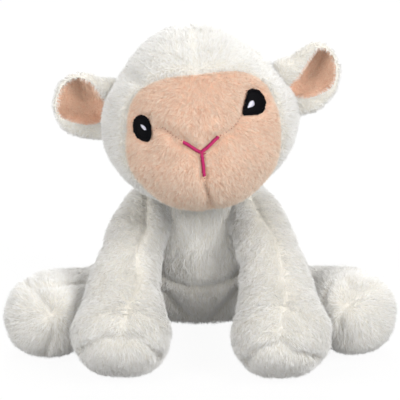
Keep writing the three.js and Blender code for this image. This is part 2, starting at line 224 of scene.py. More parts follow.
def fillMaterial(name, light, dark, scale, roughness):
    material, make, shader = newMaterial(name, roughness)
    place = make.node("ShaderNodeTexCoord").outputs["Object"]
    cells = make.node("ShaderNodeTexVoronoi", {"Vector": place, "Scale": scale}).outputs["Distance"]
    bump = make.node("ShaderNodeBump", {"Distance": 0.001, "Height": cells}, invert=True)
    # darker towards each cell's edge, where the bump sinks: painted shade in the gaps between the cells
    shade = make.ramp(cells, [(0.0, light), (0.8, dark)])
    make.fill(shader, {"Base Color": shade, "Normal": bump.outputs["Normal"]})
    return material


# the white backing's darker cream is partly painted shade for the seam partings where it shows between the strands
whiteBacking = backingMaterial("whiteBacking", (0.90, 0.87, 0.81), (0.82, 0.785, 0.70))
peachBacking = backingMaterial("peachBacking", (0.95, 0.69, 0.53), (0.87, 0.60, 0.45))
whitePile = strandMaterial(
    "whitePile", (0.89, 0.86, 0.79), (0.95, 0.945, 0.928), (0.965, 0.965, 0.963), (0.86, 0.855, 0.84))
peachPile = strandMaterial(
    "peachPile", (0.93, 0.62, 0.46), (0.985, 0.79, 0.635), (0.995, 0.89, 0.785), (0.80, 0.66, 0.57))
# the lining's dull tone is lighter than the face's to lift the lining out of the shade of its cup: painted light
liningPile = strandMaterial(
    "liningPile", (0.94, 0.57, 0.40), (0.985, 0.72, 0.545), (0.995, 0.82, 0.67), (0.95, 0.83, 0.75))
blackThread = threadMaterial("blackThread", (0.002, 0.002, 0.003), (0.005, 0.005, 0.006), 0.8, 0.06)
silverThread = threadMaterial("silverThread", (0.52, 0.52, 0.62), (0.78, 0.78, 0.88), 0.5)
pinkThread = threadMaterial("pinkThread", (0.26, 0.008, 0.06), (0.56, 0.026, 0.16), 0.5)
rustThread = threadMaterial("rustThread", (0.34, 0.11, 0.07), (0.50, 0.19, 0.13), 0.6)
fibreFill = fillMaterial("fibreFill", (0.93, 0.93, 0.92), (0.80, 0.80, 0.79), 260, 1.0)
pelletFill = fillMaterial("pelletFill", (0.84, 0.84, 0.80), (0.55, 0.55, 0.52), 330, 0.5)
neckThread = fillMaterial("neckThread", (0.86, 0.83, 0.76), (0.62, 0.58, 0.50), 1500, 0.8)

# Geometry Nodes: pile on a skin, and stitches on marked points

strandValues = {
    "rolls": (-1.05, 0.0, 1.05),  # each strand stands at one of three, so that no side of it rules the shading
    "sweep": (0.45, 0.55), "rise": (1.35, -0.35),
    "swirlScale": 75.0, "swirl": 2.2, "lockScale": 420.0, "lock": 3.0, "liftSpread": 0.7,
    "shortest": 0.7, "longest": 1.2, "tuftScale": 260.0, "tuftLow": 0.7, "tuft": 0.6,
    "toneLow": -0.4, "toneHigh": 0.1, "patchScale": 130.0, "patchTone": 0.6, "lockToneScale": 480.0,
    "lockTone": 0.95,
    "chartEdge": 0.02,
}


def newTree(name, floats):
    tree = bpy.data.node_groups.new(name, "GeometryNodeTree")
    sockets = {"Geometry": "Geometry", **dict.fromkeys(floats, "Float"), "Seed": "Int", "Material": "Material"}
    for label, kind in sockets.items():
        tree.interface.new_socket(label, in_out="INPUT", socket_type=f"NodeSocket{kind}")
    tree.interface.new_socket("Geometry", in_out="OUTPUT", socket_type="NodeSocketGeometry")
    make = TreeMaker(tree)
    return tree, make, make.node("NodeGroupInput").outputs


def finishTree(make, given, geometry, tone, smooth):  # tone and length become the chart that the materials read
    edge = strandValues["chartEdge"]
    toned = make.store(geometry, "tone", "FLOAT", "INSTANCE", tone)
    real = make.node("GeometryNodeRealizeInstances", {"Geometry": toned}).outputs[0]
    across = make.math("MINIMUM", make.math("MAXIMUM", make.attribute("tone"), edge), 1 - edge)
    up = make.plus(edge, make.times(make.attribute("along"), 1 - 2 * edge))
    mapped = make.store(real, "OFBake", "FLOAT2", "CORNER", make.join(across, up, 0.0))
    if smooth:
        mapped = make.node("GeometryNodeSetShadeSmooth", {"Geometry": mapped}).outputs[0]
    painted = make.node("GeometryNodeSetMaterial", {"Geometry": mapped, "Material": given["Material"]})
    make.node("NodeGroupOutput", {0: painted.outputs[0]})


def pileTree(values):
    tree, make, given = newTree("pileTree", ("Density", "Length", "Width", "Lean", "Ruffle", "Spread"))
    # one strand: a flat ribbon that tapers to its tip and bends over
    ribbon = make.node("GeometryNodeMeshGrid", {"Size X": 1.0, "Size Y": 1.0, "Vertices X": 2, "Vertices Y": 3})
    parts = make.node("ShaderNodeSeparateXYZ", {0: make.node("GeometryNodeInputPosition").outputs[0]}).outputs
    marked = make.store(ribbon.outputs["Mesh"], "along", "FLOAT", "POINT", make.plus(parts["Y"], 0.5))
    along = make.attribute("along")
    side = make.times(parts["X"], make.math("SUBTRACT", 1.0, along))
    square = make.times(along, along)
    sweep, rise = (make.plus(make.times(along, values[key][0]), make.times(square, values[key][1]))
                   for key in ("sweep", "rise"))
    upright = make.math("SQRT", make.math("SUBTRACT", 1.0, make.times(given["Lean"], given["Lean"])))
    thin = make.math("DIVIDE", given["Width"], given["Length"])
    kinds = make.node("GeometryNodeGeometryToInstance")
    for roll in values["rolls"]:
        over = make.times(side, math.sin(roll), thin)
        bent = make.join(make.times(side, math.cos(roll)),
                         make.math("SUBTRACT", make.times(sweep, given["Lean"]), make.times(over, upright)),
                         make.plus(make.times(rise, upright), make.times(over, given["Lean"])))
        shaped = make.node("GeometryNodeSetPosition", {"Geometry": marked, "Position": bent}).outputs[0]
        joined = make.node("GeometryNodeMergeByDistance", {"Geometry": shaped, "Distance": 0.00001}).outputs[0]
        make.fill(kinds, {0: joined})
    # strands stand on the skin, combed along its nap and ruffled in locks
    cover = make.times(make.attribute("cover"), make.times(given["Density"], 1e6))
    spots = make.node("GeometryNodeDistributePointsOnFaces", {
        "Mesh": given["Geometry"], "Density": cover, "Seed": given["Seed"]}, distribute_method="RANDOM").outputs
    swirls, locks = (make.vector("SCALE", make.vector("SUBTRACT", noises[1], (0.5, 0.5, 0.5)), amount)
                     for noises, amount in ((make.noise(values["swirlScale"], 2.0), values["swirl"]),
                                            (make.noise(values["lockScale"]), values["lock"])))
    ruffled = make.vector("SCALE", make.vector("ADD", swirls, locks), given["Ruffle"])
    comb = make.vector("ADD", make.attribute("nap", "FLOAT_VECTOR"), ruffled)
    comb = make.vector("ADD", comb, make.vector("SCALE", make.scatter(given["Seed"]), given["Spread"]))
    seedB, seedC, seedD = (make.plus(given["Seed"], step) for step in (11.0, 23.0, 37.0))
    loose = make.vector("SCALE", make.scatter(seedB), make.times(given["Spread"], values["liftSpread"]))
    lift = make.vector("ADD", spots["Normal"], loose)
    turn = make.node("FunctionNodeAxesToRotation", {0: lift, 1: comb}, primary_axis="Z", secondary_axis="Y")
    tufted = make.plus(values["tuftLow"], make.times(make.noise(values["tuftScale"])[0], values["tuft"]))
    uneven = make.random(values["shortest"], values["longest"], seedC)
    long = make.times(make.attribute("pile"), uneven, tufted, given["Length"], mm)
    wide = make.times(given["Width"], mm)
    tufts = make.node("GeometryNodeInstanceOnPoints", {
        "Points": spots["Points"], "Instance": kinds.outputs[0], "Pick Instance": True,
        "Instance Index": make.random(0.0, 2.999, seedD),
        "Rotation": turn.outputs[0], "Scale": make.join(wide, long, long)})
    tone = make.plus(make.random(values["toneLow"], values["toneHigh"], seedB),
                     make.times(make.noise(values["patchScale"], 2.0)[0], values["patchTone"]),
                     make.times(make.noise(values["lockToneScale"])[0], values["lockTone"]))
    finishTree(make, given, tufts.outputs[0], tone, False)
    return tree


def stitchTree():
    tree, make, given = newTree("stitchTree", ("Thread",))
    ball = make.node("GeometryNodeMeshUVSphere", {"Segments": 6, "Rings": 5, "Radius": 0.5})
    place = make.node("GeometryNodeInputPosition").outputs[0]
    height = make.plus(make.node("ShaderNodeSeparateXYZ", {0: place}).outputs["Z"], 0.5)
    marked = make.store(ball.outputs["Mesh"], "along", "FLOAT", "POINT", height)
    aim, up = (make.attribute(label, "FLOAT_VECTOR") for label in ("aim", "up"))
    turn = make.node("FunctionNodeAxesToRotation", {0: aim, 1: up}, primary_axis="Z", secondary_axis="X")
    wide = make.times(given["Thread"], make.random(0.85, 1.15, given["Seed"]), mm)
    threads = make.node("GeometryNodeInstanceOnPoints", {
        "Points": given["Geometry"], "Instance": marked, "Rotation": turn.outputs[0],
        "Scale": make.join(wide, wide, make.attribute("span"))})
    finishTree(make, given, threads.outputs[0], make.random(0.1, 0.95, given["Seed"]), True)
    return tree


pileMaker = pileTree(strandValues)
stitchMaker = stitchTree()


def grow(source, tree, values, name):  # runs a tree on an object and keeps the result as a plain mesh
    modifier = source.modifiers.new("grow", "NODES")
    modifier.node_group = tree
    for item in tree.interface.items_tree:
        if item.in_out == "INPUT" and item.name in values:
            modifier[item.identifier] = values[item.name]
    evaluated = source.evaluated_get(bpy.context.evaluated_depsgraph_get())
    mesh = bpy.data.meshes.new_from_object(evaluated)
    source.modifiers.remove(modifier)
    for extra in ("along", "tone", "aim", "up", "span"):
        if extra in mesh.attributes:
            mesh.attributes.remove(mesh.attributes[extra])
    mesh.name = name
    return addObject(name, mesh)


def mark(mesh, values):  # a vector or a number for each point
    for label, rows in values.items():
        rows = np.asarray(rows, np.float32)
        kind, field = ("FLOAT_VECTOR", "vector") if rows.ndim == 2 else ("FLOAT", "value")
        mesh.attributes.new(label, kind, "POINT").data.foreach_set(field, rows.ravel())


# Skins: points in millimetres, quads, and the way the pile lies on them

def catmull(rows, t):
    rows = np.asarray(rows, float)
    padded = np.vstack([2 * rows[0] - rows[1], rows, 2 * rows[-1] - rows[-2]])
    place = np.clip(np.asarray(t) * (len(rows) - 1), 0, len(rows) - 1 - 1e-9)
    i = place.astype(int)
    f = (place - i)[:, None]
    a, b, c, d = padded[i], padded[i + 1], padded[i + 2], padded[i + 3]
    return 0.5 * (2 * b + (c - a) * f + (2 * a - 5 * b + 4 * c - d) * f ** 2 + (3 * b - a - 3 * c + d) * f ** 3)


def powered(wave, power):
    return np.sign(wave) * np.abs(wave) ** power


def bell(distance, width):
    return np.exp(-(distance / width) ** 2)


def unit(vectors):
    return vectors / np.maximum(np.linalg.norm(vectors, axis=-1, keepdims=True), 1e-9)


def ringFaces(rings, sides):  # points: first pole, rings, last pole
    faces = []
    top = 1 + (rings - 1) * sides
    for k in range(sides):
        n = (k + 1) % sides
        faces += [(0, 1 + n, 1 + k), (top + sides, top + k, top + n)]
        for a in range(1, top, sides):
            faces.append((a + k, a + n, a + sides + n, a + sides + k))
    return faces


def splitFaces(faces, keep, start):  # two skins that share the ring between start and keep
    return ([f for f in faces if max(f) < keep],
            [tuple(i - start for i in f) for f in faces if min(f) >= start])


def triangles(faces):
    out = []
    for face in faces:
        out.append(face[:3])
        if len(face) == 4:
            out.append((face[0], face[2], face[3]))
    return np.array(out)


def normalsOf(points, tris):
    a, b, c = (points[tris[:, k]] for k in range(3))
    cross = np.cross(b - a, c - a)
    total = np.zeros_like(points)
    for k in range(3):
        np.add.at(total, tris[:, k], cross)
    return unit(total)


def outward(points, faces):
    tris = triangles(faces)
    a, b, c = (points[tris[:, k]] for k in range(3))
    if np.einsum("ij,ij->i", a, np.cross(b, c)).sum() < 0:
        faces = [tuple(reversed(face)) for face in faces]
    return faces


def seamDistance(points, line):
    line = np.asarray(line, float)
    best = np.full(len(points), 1e9)
    away = np.zeros_like(points)
    for a, b in zip(line[:-1], line[1:]):
        step = b - a
        t = np.clip(((points - a) @ step) / max(step @ step, 1e-9), 0, 1)
        offset = points - (a + t[:, None] * step)
        distance = np.linalg.norm(offset, axis=1)
        closer = distance < best
        best[closer] = distance[closer]
        away[closer] = offset[closer]
    return best, unit(away)


floorValues = {  # no pile is trapped under what stands on the floor, nor reaches through it
    "height": 0.6, "soft": 1.4, "sink": 0.69, "grip": (1, 3), "cover": (1.5, 6.0), "pileLow": 0.1,
}


def floorCover(points, low=floorValues["cover"][0], high=floorValues["cover"][1]):  # 0 on the floor, 1 above
    return np.clip((points[:, 2] - low) / (high - low), 0, 1)


def lumps(points, tris, size, depth, seed, rise=None):  # uneven stuffing, which fades towards the floor
    shift = Vector((seed * 7.3, seed * 3.1, seed * 5.7))
    swell = np.array([noise.noise(Vector(p) / size + shift) for p in points]) * depth
    swell = normalsOf(points, tris) * swell[:, None]
    return points + (swell if rise is None else swell * floorCover(points, 1, rise)[:, None])


def settle(points):  # the weight flattens what stands on the floor
    floor, soft = floorValues["height"], floorValues["soft"]
    z = points[:, 2]
    sink = soft * floorValues["sink"] * np.exp(-np.maximum(z - floor, 0) / soft)
    points[:, 2] = floor + soft * np.logaddexp(0, (z - floor) / soft) - sink
    return points


def treeOf(points, faces):
    return BVHTree.FromPolygons([Vector(p * mm) for p in points], [list(f) for f in faces])


def castLine(tree, pixels, steps=6):  # a line drawn on the photograph, laid on a skin
    dense = catmull(pixels, np.linspace(0, 1, steps * (len(pixels) - 1) + 1))
    hits = [tree.ray_cast(*viewRay(x, y))[0] for x, y in dense]
    return np.array([np.array(hit) / mm for hit in hits if hit is not None])


def castAll(tree, starts, aim):  # where rays in one direction meet a skin
    return [np.array(tree.ray_cast(Vector(start), aim)[0]) / mm for start in starts]


def drawn(tree, *rows):  # each row: how its seams look, then their lines on the photograph
    return [{"line": castLine(tree, line), **look} for look, *lines in rows for line in lines]


sewnIn = {"pucker": True, "trim": 0.4}
grooveValues = {
    "pucker": 0.25, "ripple": 1.1, "trim": 0.25, "trimWidth": 0.6, "part": 0.8, "partWidth": 1.6, "flat": 1.1,
    "limit": 9.0,
}


def groove(points, normals, seams, limit=grooveValues["limit"]):  # seams draw the skin in and pucker it
    v = grooveValues
    sunk = np.zeros(len(points))
    short = np.ones(len(points))
    part = np.zeros_like(points)
    for seam in seams:
        if len(seam["line"]) < 2:
            continue
        distance, away = seamDistance(points, seam["line"])
        width = seam["width"]
        pucker = 1 + v["pucker"] * np.sin(points.sum(1) * v["ripple"]) if seam.get("pucker") else 1
        sunk += bell(distance, width) * seam["depth"] * pucker
        short *= 1 - seam.get("trim", v["trim"]) * bell(distance, width * v["trimWidth"])
        lean = seam.get("part", v["part"]) * bell(distance, width * v["partWidth"])
        if "comb" in seam:
            lean += seam["comb"] * bell(distance, seam["reach"])
        part += away * (lean * (1 - bell(distance, v["flat"])))[:, None]
    return points - normals * np.minimum(sunk, limit)[:, None], short, part


# Stuffing: each skin is a cloth blown up against its seams, on every second ring and side, and its
# swelling is spread to the rest

puffValues = {
    "scale": 20.0, "mass": 0.02, "tension": 15.0, "bending": 0.5, "pressure": 20.0, "grow": 0.03, "frames": 14,
    "cap": 2.4, "seamHold": 2.2, "floor": 0.5,
}


def spread(grid, known, wanted):  # linear between the known rows
    place = np.interp(wanted, known, np.arange(len(known)))
    low = np.minimum(place.astype(int), len(known) - 2)
    share = (place - low)[:, None, None]
    return grid[low] * (1 - share) + grid[low + 1] * share


def blowUp(points, faces, held):
    v = puffValues
    mesh = bpy.data.meshes.new("panel")
    mesh.from_pydata((points * mm * v["scale"]).tolist(), [], faces)
    panel = addObject("panel", mesh)
    group = panel.vertex_groups.new(name="held")
    levels = np.round(held * 10)
    for level in range(1, 11):
        group.add(np.nonzero(levels == level)[0].tolist(), level / 10, "REPLACE")
    modifier = panel.modifiers.new("stuffing", "CLOTH")
    cloth = modifier.settings
    cloth.vertex_group_mass = "held"
    cloth.mass = v["mass"]
    cloth.tension_stiffness = cloth.compression_stiffness = v["tension"]
    cloth.shear_stiffness = v["tension"] / 3
    cloth.bending_stiffness = v["bending"]
    cloth.use_pressure = True
    cloth.uniform_pressure_force = v["pressure"]
    cloth.shrink_min = -v["grow"]
    cloth.effector_weights.gravity = 0
    modifier.collision_settings.use_collision = False
    modifier.point_cache.frame_end = v["frames"]
    for step in range(1, v["frames"] + 1):
        scene.frame_set(step)
    places = np.zeros(len(points) * 3, np.float32)
    panel.evaluated_get(bpy.context.evaluated_depsgraph_get()).data.vertices.foreach_get("co", places)
    scene.frame_set(1)
    bpy.data.objects.remove(panel)
    bpy.data.meshes.remove(mesh)
    return places.reshape(-1, 3) / mm / v["scale"]


def puff(points, faces, sides, seams, fixed, sewn=0, slack=1.2, soften=1):  # points as in ringFaces
    v = puffValues
    slackened = points - normalsOf(points, triangles(faces)) * (slack * (1 - fixed))[:, None]
    held = np.maximum(fixed, sewn)
    for seam in seams:
        if len(seam["line"]) > 1:
            reach = seam.get("hold", v["seamHold"]) - seamDistance(points, seam["line"])[0]
            held = np.maximum(held, np.clip(reach, 0, 1))
    rings = (len(points) - 2) // sides
    rows = np.unique(np.r_[0:rings:2, rings - 1])
    across = np.arange(0, sides, 2)
    picked = np.r_[0, (1 + rows[:, None] * sides + across).ravel(), len(points) - 1]
    coarse = slackened[picked]
    coarseFaces = outward(coarse - coarse.mean(0), ringFaces(len(rows), len(across)))
    swell = blowUp(coarse, coarseFaces, held[picked]) - coarse
    reach = np.linalg.norm(swell, axis=1, keepdims=True)
    swell = np.round(swell * np.minimum(1, v["cap"] / np.maximum(reach, 1e-9)), 2)
    grid = swell[1:-1].reshape(len(rows), len(across), 3)
    for _ in range(soften):  # no crease is thinner than the cloth
        grid = (2 * grid + np.roll(grid, 1, 1) + np.roll(grid, -1, 1)) / 4
        grid = (2 * grid + np.concatenate([grid[:1], grid[:-1]]) + np.concatenate([grid[1:], grid[-1:]])) / 4
    grid *= (1 - held[picked][1:-1]).reshape(len(rows), len(across), 1)
    grid = spread(grid, rows, np.arange(rings))
    grid = np.concatenate([grid, grid[:, :1]], 1).transpose(1, 0, 2)
    grid = spread(grid, np.r_[across, sides], np.arange(sides)).transpose(1, 0, 2)
    blown = slackened + np.vstack([swell[:1], grid.reshape(-1, 3), swell[-1:]])
    blown[:, 2] = np.maximum(blown[:, 2], v["floor"])
    return blown


def clearOf(points, names, gap=0.5, reach=8):  # the skin stays outside what fills it
    for name in names:
        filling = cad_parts[name]
        places = [filling.matrix_world @ v.co for v in filling.data.vertices]
        tree = BVHTree.FromPolygons(places, [tuple(p.vertices) for p in filling.data.polygons])
        for i, p in enumerate(points):
            hit, normal, _, _ = tree.find_nearest(Vector(p * mm), reach * mm)
            if hit is not None and (Vector(p * mm) - hit).dot(normal) < gap * mm:
                points[i] = np.array(hit + normal * gap * mm) / mm
    return points


def outsideOf(tree, points, margin):  # 1 where a point stands clear of a closed skin
    clear = np.ones(len(points))
    for i, p in enumerate(points):
        hit, normal, _, _ = tree.find_nearest(Vector(p * mm))
        clear[i] = (Vector(p * mm) - hit).dot(normal) > margin * mm
    return clear


def makeSkin(name, points, faces, material, nap, pile, cover):
    mesh = bpy.data.meshes.new(name)
    mesh.from_pydata((np.asarray(points) * mm).tolist(), [], faces)
    mesh.polygons.foreach_set("use_smooth", [True] * len(mesh.polygons))
    mark(mesh, {"nap": nap, "pile": pile, "cover": cover})
    mesh.materials.append(material)
    mesh.update()
    return addObject(name, mesh)


def follow(piece, rider):
    if rider[0] == "ride":
        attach(piece, rider[1])
    else:
        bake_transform(piece, rider[1], rider[2], start=[v * mm for v in rider[3]], end=[v * mm for v in rider[4]])


pileSeeds = iter(range(31, 999, 31))


def furnish(skin, values, material, rider, replaced, halves=None):
    marks = skin.data.attributes
    cover = np.zeros(len(skin.data.vertices), np.float32)
    marks["cover"].data.foreach_get("value", cover)
    grown = 0
    for label, share in halves or [("", np.ones(len(cover)))]:
        marks["cover"].data.foreach_set("value", (cover * share).astype(np.float32))
        pile = grow(skin, pileMaker, {**values, "Seed": next(pileSeeds), "Material": material},
                    skin.name.replace("Skin", "Pile") + label)
        places = np.zeros(len(pile.data.vertices) * 3, np.float32)
        pile.data.vertices.foreach_get("co", places)
        places[2::3] = np.maximum(places[2::3], floorValues["pileLow"] * mm)  # the floor bends the tips
        pile.data.vertices.foreach_set("co", places)
        follow(pile, rider)
        grown += len(pile.data.polygons) // 2
    for label in ("nap", "pile", "cover"):  # once the pile is grown, the skin keeps no pile marks
        marks.remove(marks[label])
    follow(skin, rider)
    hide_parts(*replaced)
    print(f"{skin.name}: {len(skin.data.polygons)} faces, {grown} strands")


whiteValues = {"Density": 3.7, "Length": 3.2, "Width": 0.38, "Lean": 0.83, "Ruffle": 0.6, "Spread": 0.36}
peachValues = {"Density": 7.2, "Length": 2.6, "Width": 0.28, "Lean": 0.78, "Ruffle": 1.0, "Spread": 0.4}

# Torso: a pear on a flat seat, under the head and behind the forelegs

torsoValues = {
    "inset": 2.0,
    "rings": [  # height, half width, half depth, middle y
        (0.6, 36, 28, 1.3), (5, 46, 36, 1.3), (16, 52.5, 42.3, 1.3), (33, 55, 45, 0.7), (51, 51.5, 42, -2.6),
        (66.5, 44.5, 37, -7.8), (80, 38, 33.5, -11.7), (92, 33, 33, -13), (102.2, 31.4, 31.4, -13),
        (111.4, 26.7, 26.7, -13), (118.7, 19.4, 19.4, -13), (123.4, 10.2, 10.2, -13)],
    "seatShares": (0.3, 0.6, 0.85),
    "topY": -13, "topZ": 125,
    "chestFlat": 0.42, "chestHeight": 79, "chestReach": 24,
    "sides": 144, "rows": 120,
    "lumps": (17, 1.1, 1, 12),
    "neckHold": 86, "neckFade": 6,
    "density": 3.1, "frontEnd": -8, "combFan": 0.006, "underHead": -1.0,
    "bellySeam": ({"width": 2.4, "depth": 1.2, **sewnIn},
                  [(160, 268), (165, 275), (182, 283), (200, 285), (218, 283), (235, 275), (240, 268)]),
    "crotchSeams": ({"width": 2.4, "depth": 1.5, **sewnIn},
                    [(168, 292), (173, 300), (181, 308), (188, 316)],
                    [(237, 288), (229, 299), (220, 308), (214, 316)]),
    "backSeam": {"width": 2.2, "depth": 1.3, **sewnIn},
    "sideSeams": {"width": 2.2, "depth": 1.1, **sewnIn},
    "seamHeights": (8, 96, 24),
}


def torsoParts(v):
    rows = catmull(v["rings"], np.linspace(0, 1, v["rows"]))
    angles = np.linspace(0, 2 * np.pi, v["sides"], endpoint=False)
    ca, sa, inset = np.cos(angles), np.sin(angles), v["inset"]
    z, hx, hy, y = rows[0]
    rings = [[(0, y, z)]]
    for s in v["seatShares"]:
        rings.append(columns((hx - inset) * s * ca, y + (hy - inset) * s * sa, z))
    for z, hx, hy, y in rows:
        flat = v["chestFlat"] * math.exp(-((z - v["chestHeight"]) / v["chestReach"]) ** 2)
        power = np.where(sa < 0, 1 - flat, 1)
        rings.append(columns((hx - inset) * powered(ca, power), y + (hy - inset) * powered(sa, power), z))
    points = np.vstack([*rings, [(0, v["topY"], v["topZ"] - inset)]])
    return points, outward(points, ringFaces(len(rings) - 1, len(angles)))


def buildTorso(v):
    points, faces = torsoParts(v)
    tris = triangles(faces)
    points = lumps(points, tris, *v["lumps"])

    def sewn():
        tree = treeOf(points, faces)
        seams = drawn(tree, v["bellySeam"], v["crotchSeams"])
        heights = [z * mm for z in np.linspace(*v["seamHeights"])]
        for look, start, aim in ((v["backSeam"], (0, 0.2), (0, -1, 0)), (v["sideSeams"], (0.2, -0.008), (-1, 0, 0)),
                                 (v["sideSeams"], (-0.2, -0.008), (1, 0, 0))):
            seams.append({"line": castAll(tree, [(*start, z) for z in heights], Vector(aim)), **look})
        return seams

    neck = np.clip((points[:, 2] - v["neckHold"]) / v["neckFade"], 0, 1)
    fixed = np.maximum(1 - floorCover(points, *floorValues["grip"]), neck)
    points = puff(points, faces, v["sides"], sewn(), fixed)
    points, short, part = groove(points, normalsOf(points, tris), sewn())
    points = clearOf(points, ["torso_stuffing"])
    nap = columns(points[:, 0] * v["combFan"], points[:, 1] * v["combFan"], -1.0) + part
    cover = floorCover(points) * outsideOf(headTree, points, v["underHead"])
    skin = makeSkin("torsoSkin", points, faces, whiteBacking, nap, short, cover)
    hidden = ["torso_front_panel", "torso_back_panel_left", "torso_back_panel_right", "torso_base_panel"]
    front = (points[:, 1] < v["frontEnd"]).astype(float)
    furnish(skin, {**whiteValues, "Density": v["density"]}, whitePile, ("ride", "torso"),
            hidden, [("Front", front), ("Back", 1 - front)])


# Limbs: lofts along a bent line, closed by a round root and a foot; the seams are drawn on the photograph

centreLook = {"width": 2.1, "depth": 1.4, "comb": 0.9, "reach": 20, **sewnIn}
toeLook = {"width": 2.6, "depth": 2.1, "pucker": True}
footLook = {"width": 2.1, "depth": 1.4, "trim": 0.4}
forelegValues = {
    "stations": [  # x, y, z of the middle, half width, half depth
        (28, -26, 85, 14.8, 14), (36.5, -43, 75.5, 16.9, 16), (42.4, -59, 61, 18.6, 17),
        (45.8, -73, 47, 21.2, 18.6), (46.4, -84, 36.5, 24, 21.8), (47, -93, 28, 28.4, 26)],
    "across": (1, 0, 0), "leftEnd": (1.4, -1, 0), "footLength": 26.5, "blunt": 0.7,
    "square": (1, 1, 1, 0.95, 0.9, 0.84),
    "rows": 96, "sides": 96, "caps": 22,
    "lumps": (12, 1.3), "lumpSeed": 3, "lumpRise": 10, "rootHold": 16, "rootFade": 5, "bend": 30,
    "combAlong": 0.8, "combDown": (0, -0.1, -0.2),
    "fills": ("foreleg_stuffing", "forefoot_pellets"), "panels": ("foreleg_skin", "forefoot_sole"),
    "backSeam": {"width": 2.2, "depth": 1.0, "trim": 0.4}, "backAim": (0.15, 0.6, -0.5),
    "seams": {
        "right": [
            (centreLook, [(148, 192), (146, 212), (146, 229), (139, 247), (137, 257), (140, 274), (140, 287),
                          (134, 297), (128, 308), (122, 336)]),
            (toeLook, [(72, 352), (86, 347), (99, 341), (111, 338), (120, 341), (134, 337), (147, 345),
                       (160, 357)])],
        "left": [
            (centreLook, [(252, 198), (260, 215), (267, 225), (275, 240), (279, 255), (283, 274), (286, 295),
                          (285, 309), (281, 338)]),
            (toeLook, [(243, 366), (253, 353), (264, 347), (275, 345), (281, 341), (294, 351), (307, 354),
                       (325, 359)])],
    },
}
hindlegValues = {
    "stations": [
        (40, -9, 21.5, 17.6, 21), (54, -16, 19.6, 16.3, 20.5), (69, -26, 19.6, 16.2, 20.8),
        (82, -39, 21.2, 19.2, 21.6), (90.5, -55, 23.9, 23.0, 24), (95, -69, 24.8, 24.4, 25)],
    "across": (0, 0, 1), "leftEnd": (0.8, 3, 0.9), "footLength": 20, "blunt": 0.83,
    "square": (0.93, 0.93, 0.93, 0.92, 0.9, 0.88),
    "rows": 96, "sides": 96, "caps": 20,
    "lumps": (12, 1.3), "lumpSeed": 9, "lumpRise": 10, "rootHold": 20, "rootFade": 5, "bend": 28,
    "combAlong": -0.9, "combDown": (0, 0, -0.3),
    "fills": ("hindleg_stuffing", "hindfoot_pellets"), "panels": ("hindleg_skin",),
    "hubs": {"right": (52.5, 314), "left": (348, 303.5)},  # where the darts of the foot meet
    "hubDepth": 1.6, "hubWidth": 4.0, "combOut": 1.2, "combReach": 34, "combFade": 6,
    "seams": {
        "right": [(footLook, [(50, 311), (44, 303), (36, 293), (27, 284)],
                   [(40, 287), (52, 287.5), (64, 286), (84, 283)], [(53, 318), (51, 336), (45, 353)])],
        "left": [(footLook, [(350, 302), (359, 296.5), (373, 287)], [(347, 305), (342, 312.5), (340, 326)],
                  [(331, 285), (326, 297), (325, 310)], [(348, 300), (350, 290), (347, 280)])],
    },
}
tailValues = {
    "stations": [(0, 37, 36.5, 5, 5), (0, 45, 31.5, 6, 6), (0, 53, 26.5, 7.2, 7.2), (0, 60, 21, 7.2, 7.2)],
    "across": (1, 0, 0), "leftEnd": (0, 0, 0), "footLength": 7, "blunt": 1.0, "square": (1, 1, 1, 1),
    "rows": 40, "sides": 48, "caps": 12,
    "lumps": (8, 0.5, 14), "bendStart": (0, 40, 34.5), "bendEnd": (0, 50, 28.5),
}


def limbParts(v, sign):
    stations = np.array(v["stations"], float)
    if sign > 0:
        stations[:, :3] += np.linspace(0, 1, len(stations))[:, None] ** 2 * np.array(v["leftEnd"])
    stations[:, 0] *= sign
    t = np.linspace(0, 1, v["rows"])
    rows = catmull(stations, t)
    centres, side, front = rows[:, :3], rows[:, 3], rows[:, 4]
    tangents = unit(np.gradient(centres, axis=0))
    across = np.array(v["across"], float)
    sideAxis = unit(across - tangents * (tangents @ across)[:, None])
    frontAxis = np.cross(tangents, sideAxis)
    angles = np.linspace(0, 2 * np.pi, v["sides"], endpoint=False)
    power = np.interp(t, np.linspace(0, 1, len(stations)), v["square"])

    def ring(k, lift, length):
        c = centres[k] + tangents[k] * length * np.sin(lift)
        scale = np.cos(lift) ** v["blunt"]
        ca, sa = powered(np.cos(angles), power[k]), powered(np.sin(angles), power[k])
        return c + scale * (side[k] * ca[:, None] * sideAxis[k] + front[k] * sa[:, None] * frontAxis[k])

    lifts = np.linspace(0, np.pi / 2, v["caps"] + 1)[1:-1]
    rings = [ring(0, -lift, side[0]) for lift in lifts[::-1]]
    rings += [ring(k, 0, 0) for k in range(len(t))]
    rings += [ring(-1, lift, v["footLength"]) for lift in lifts]
    first = centres[0] - tangents[0] * side[0]
    last = centres[-1] + tangents[-1] * v["footLength"]
    points = np.vstack([[first], *rings, [last]])
    return points, outward(points, ringFaces(len(rings), len(angles))), centres, tangents


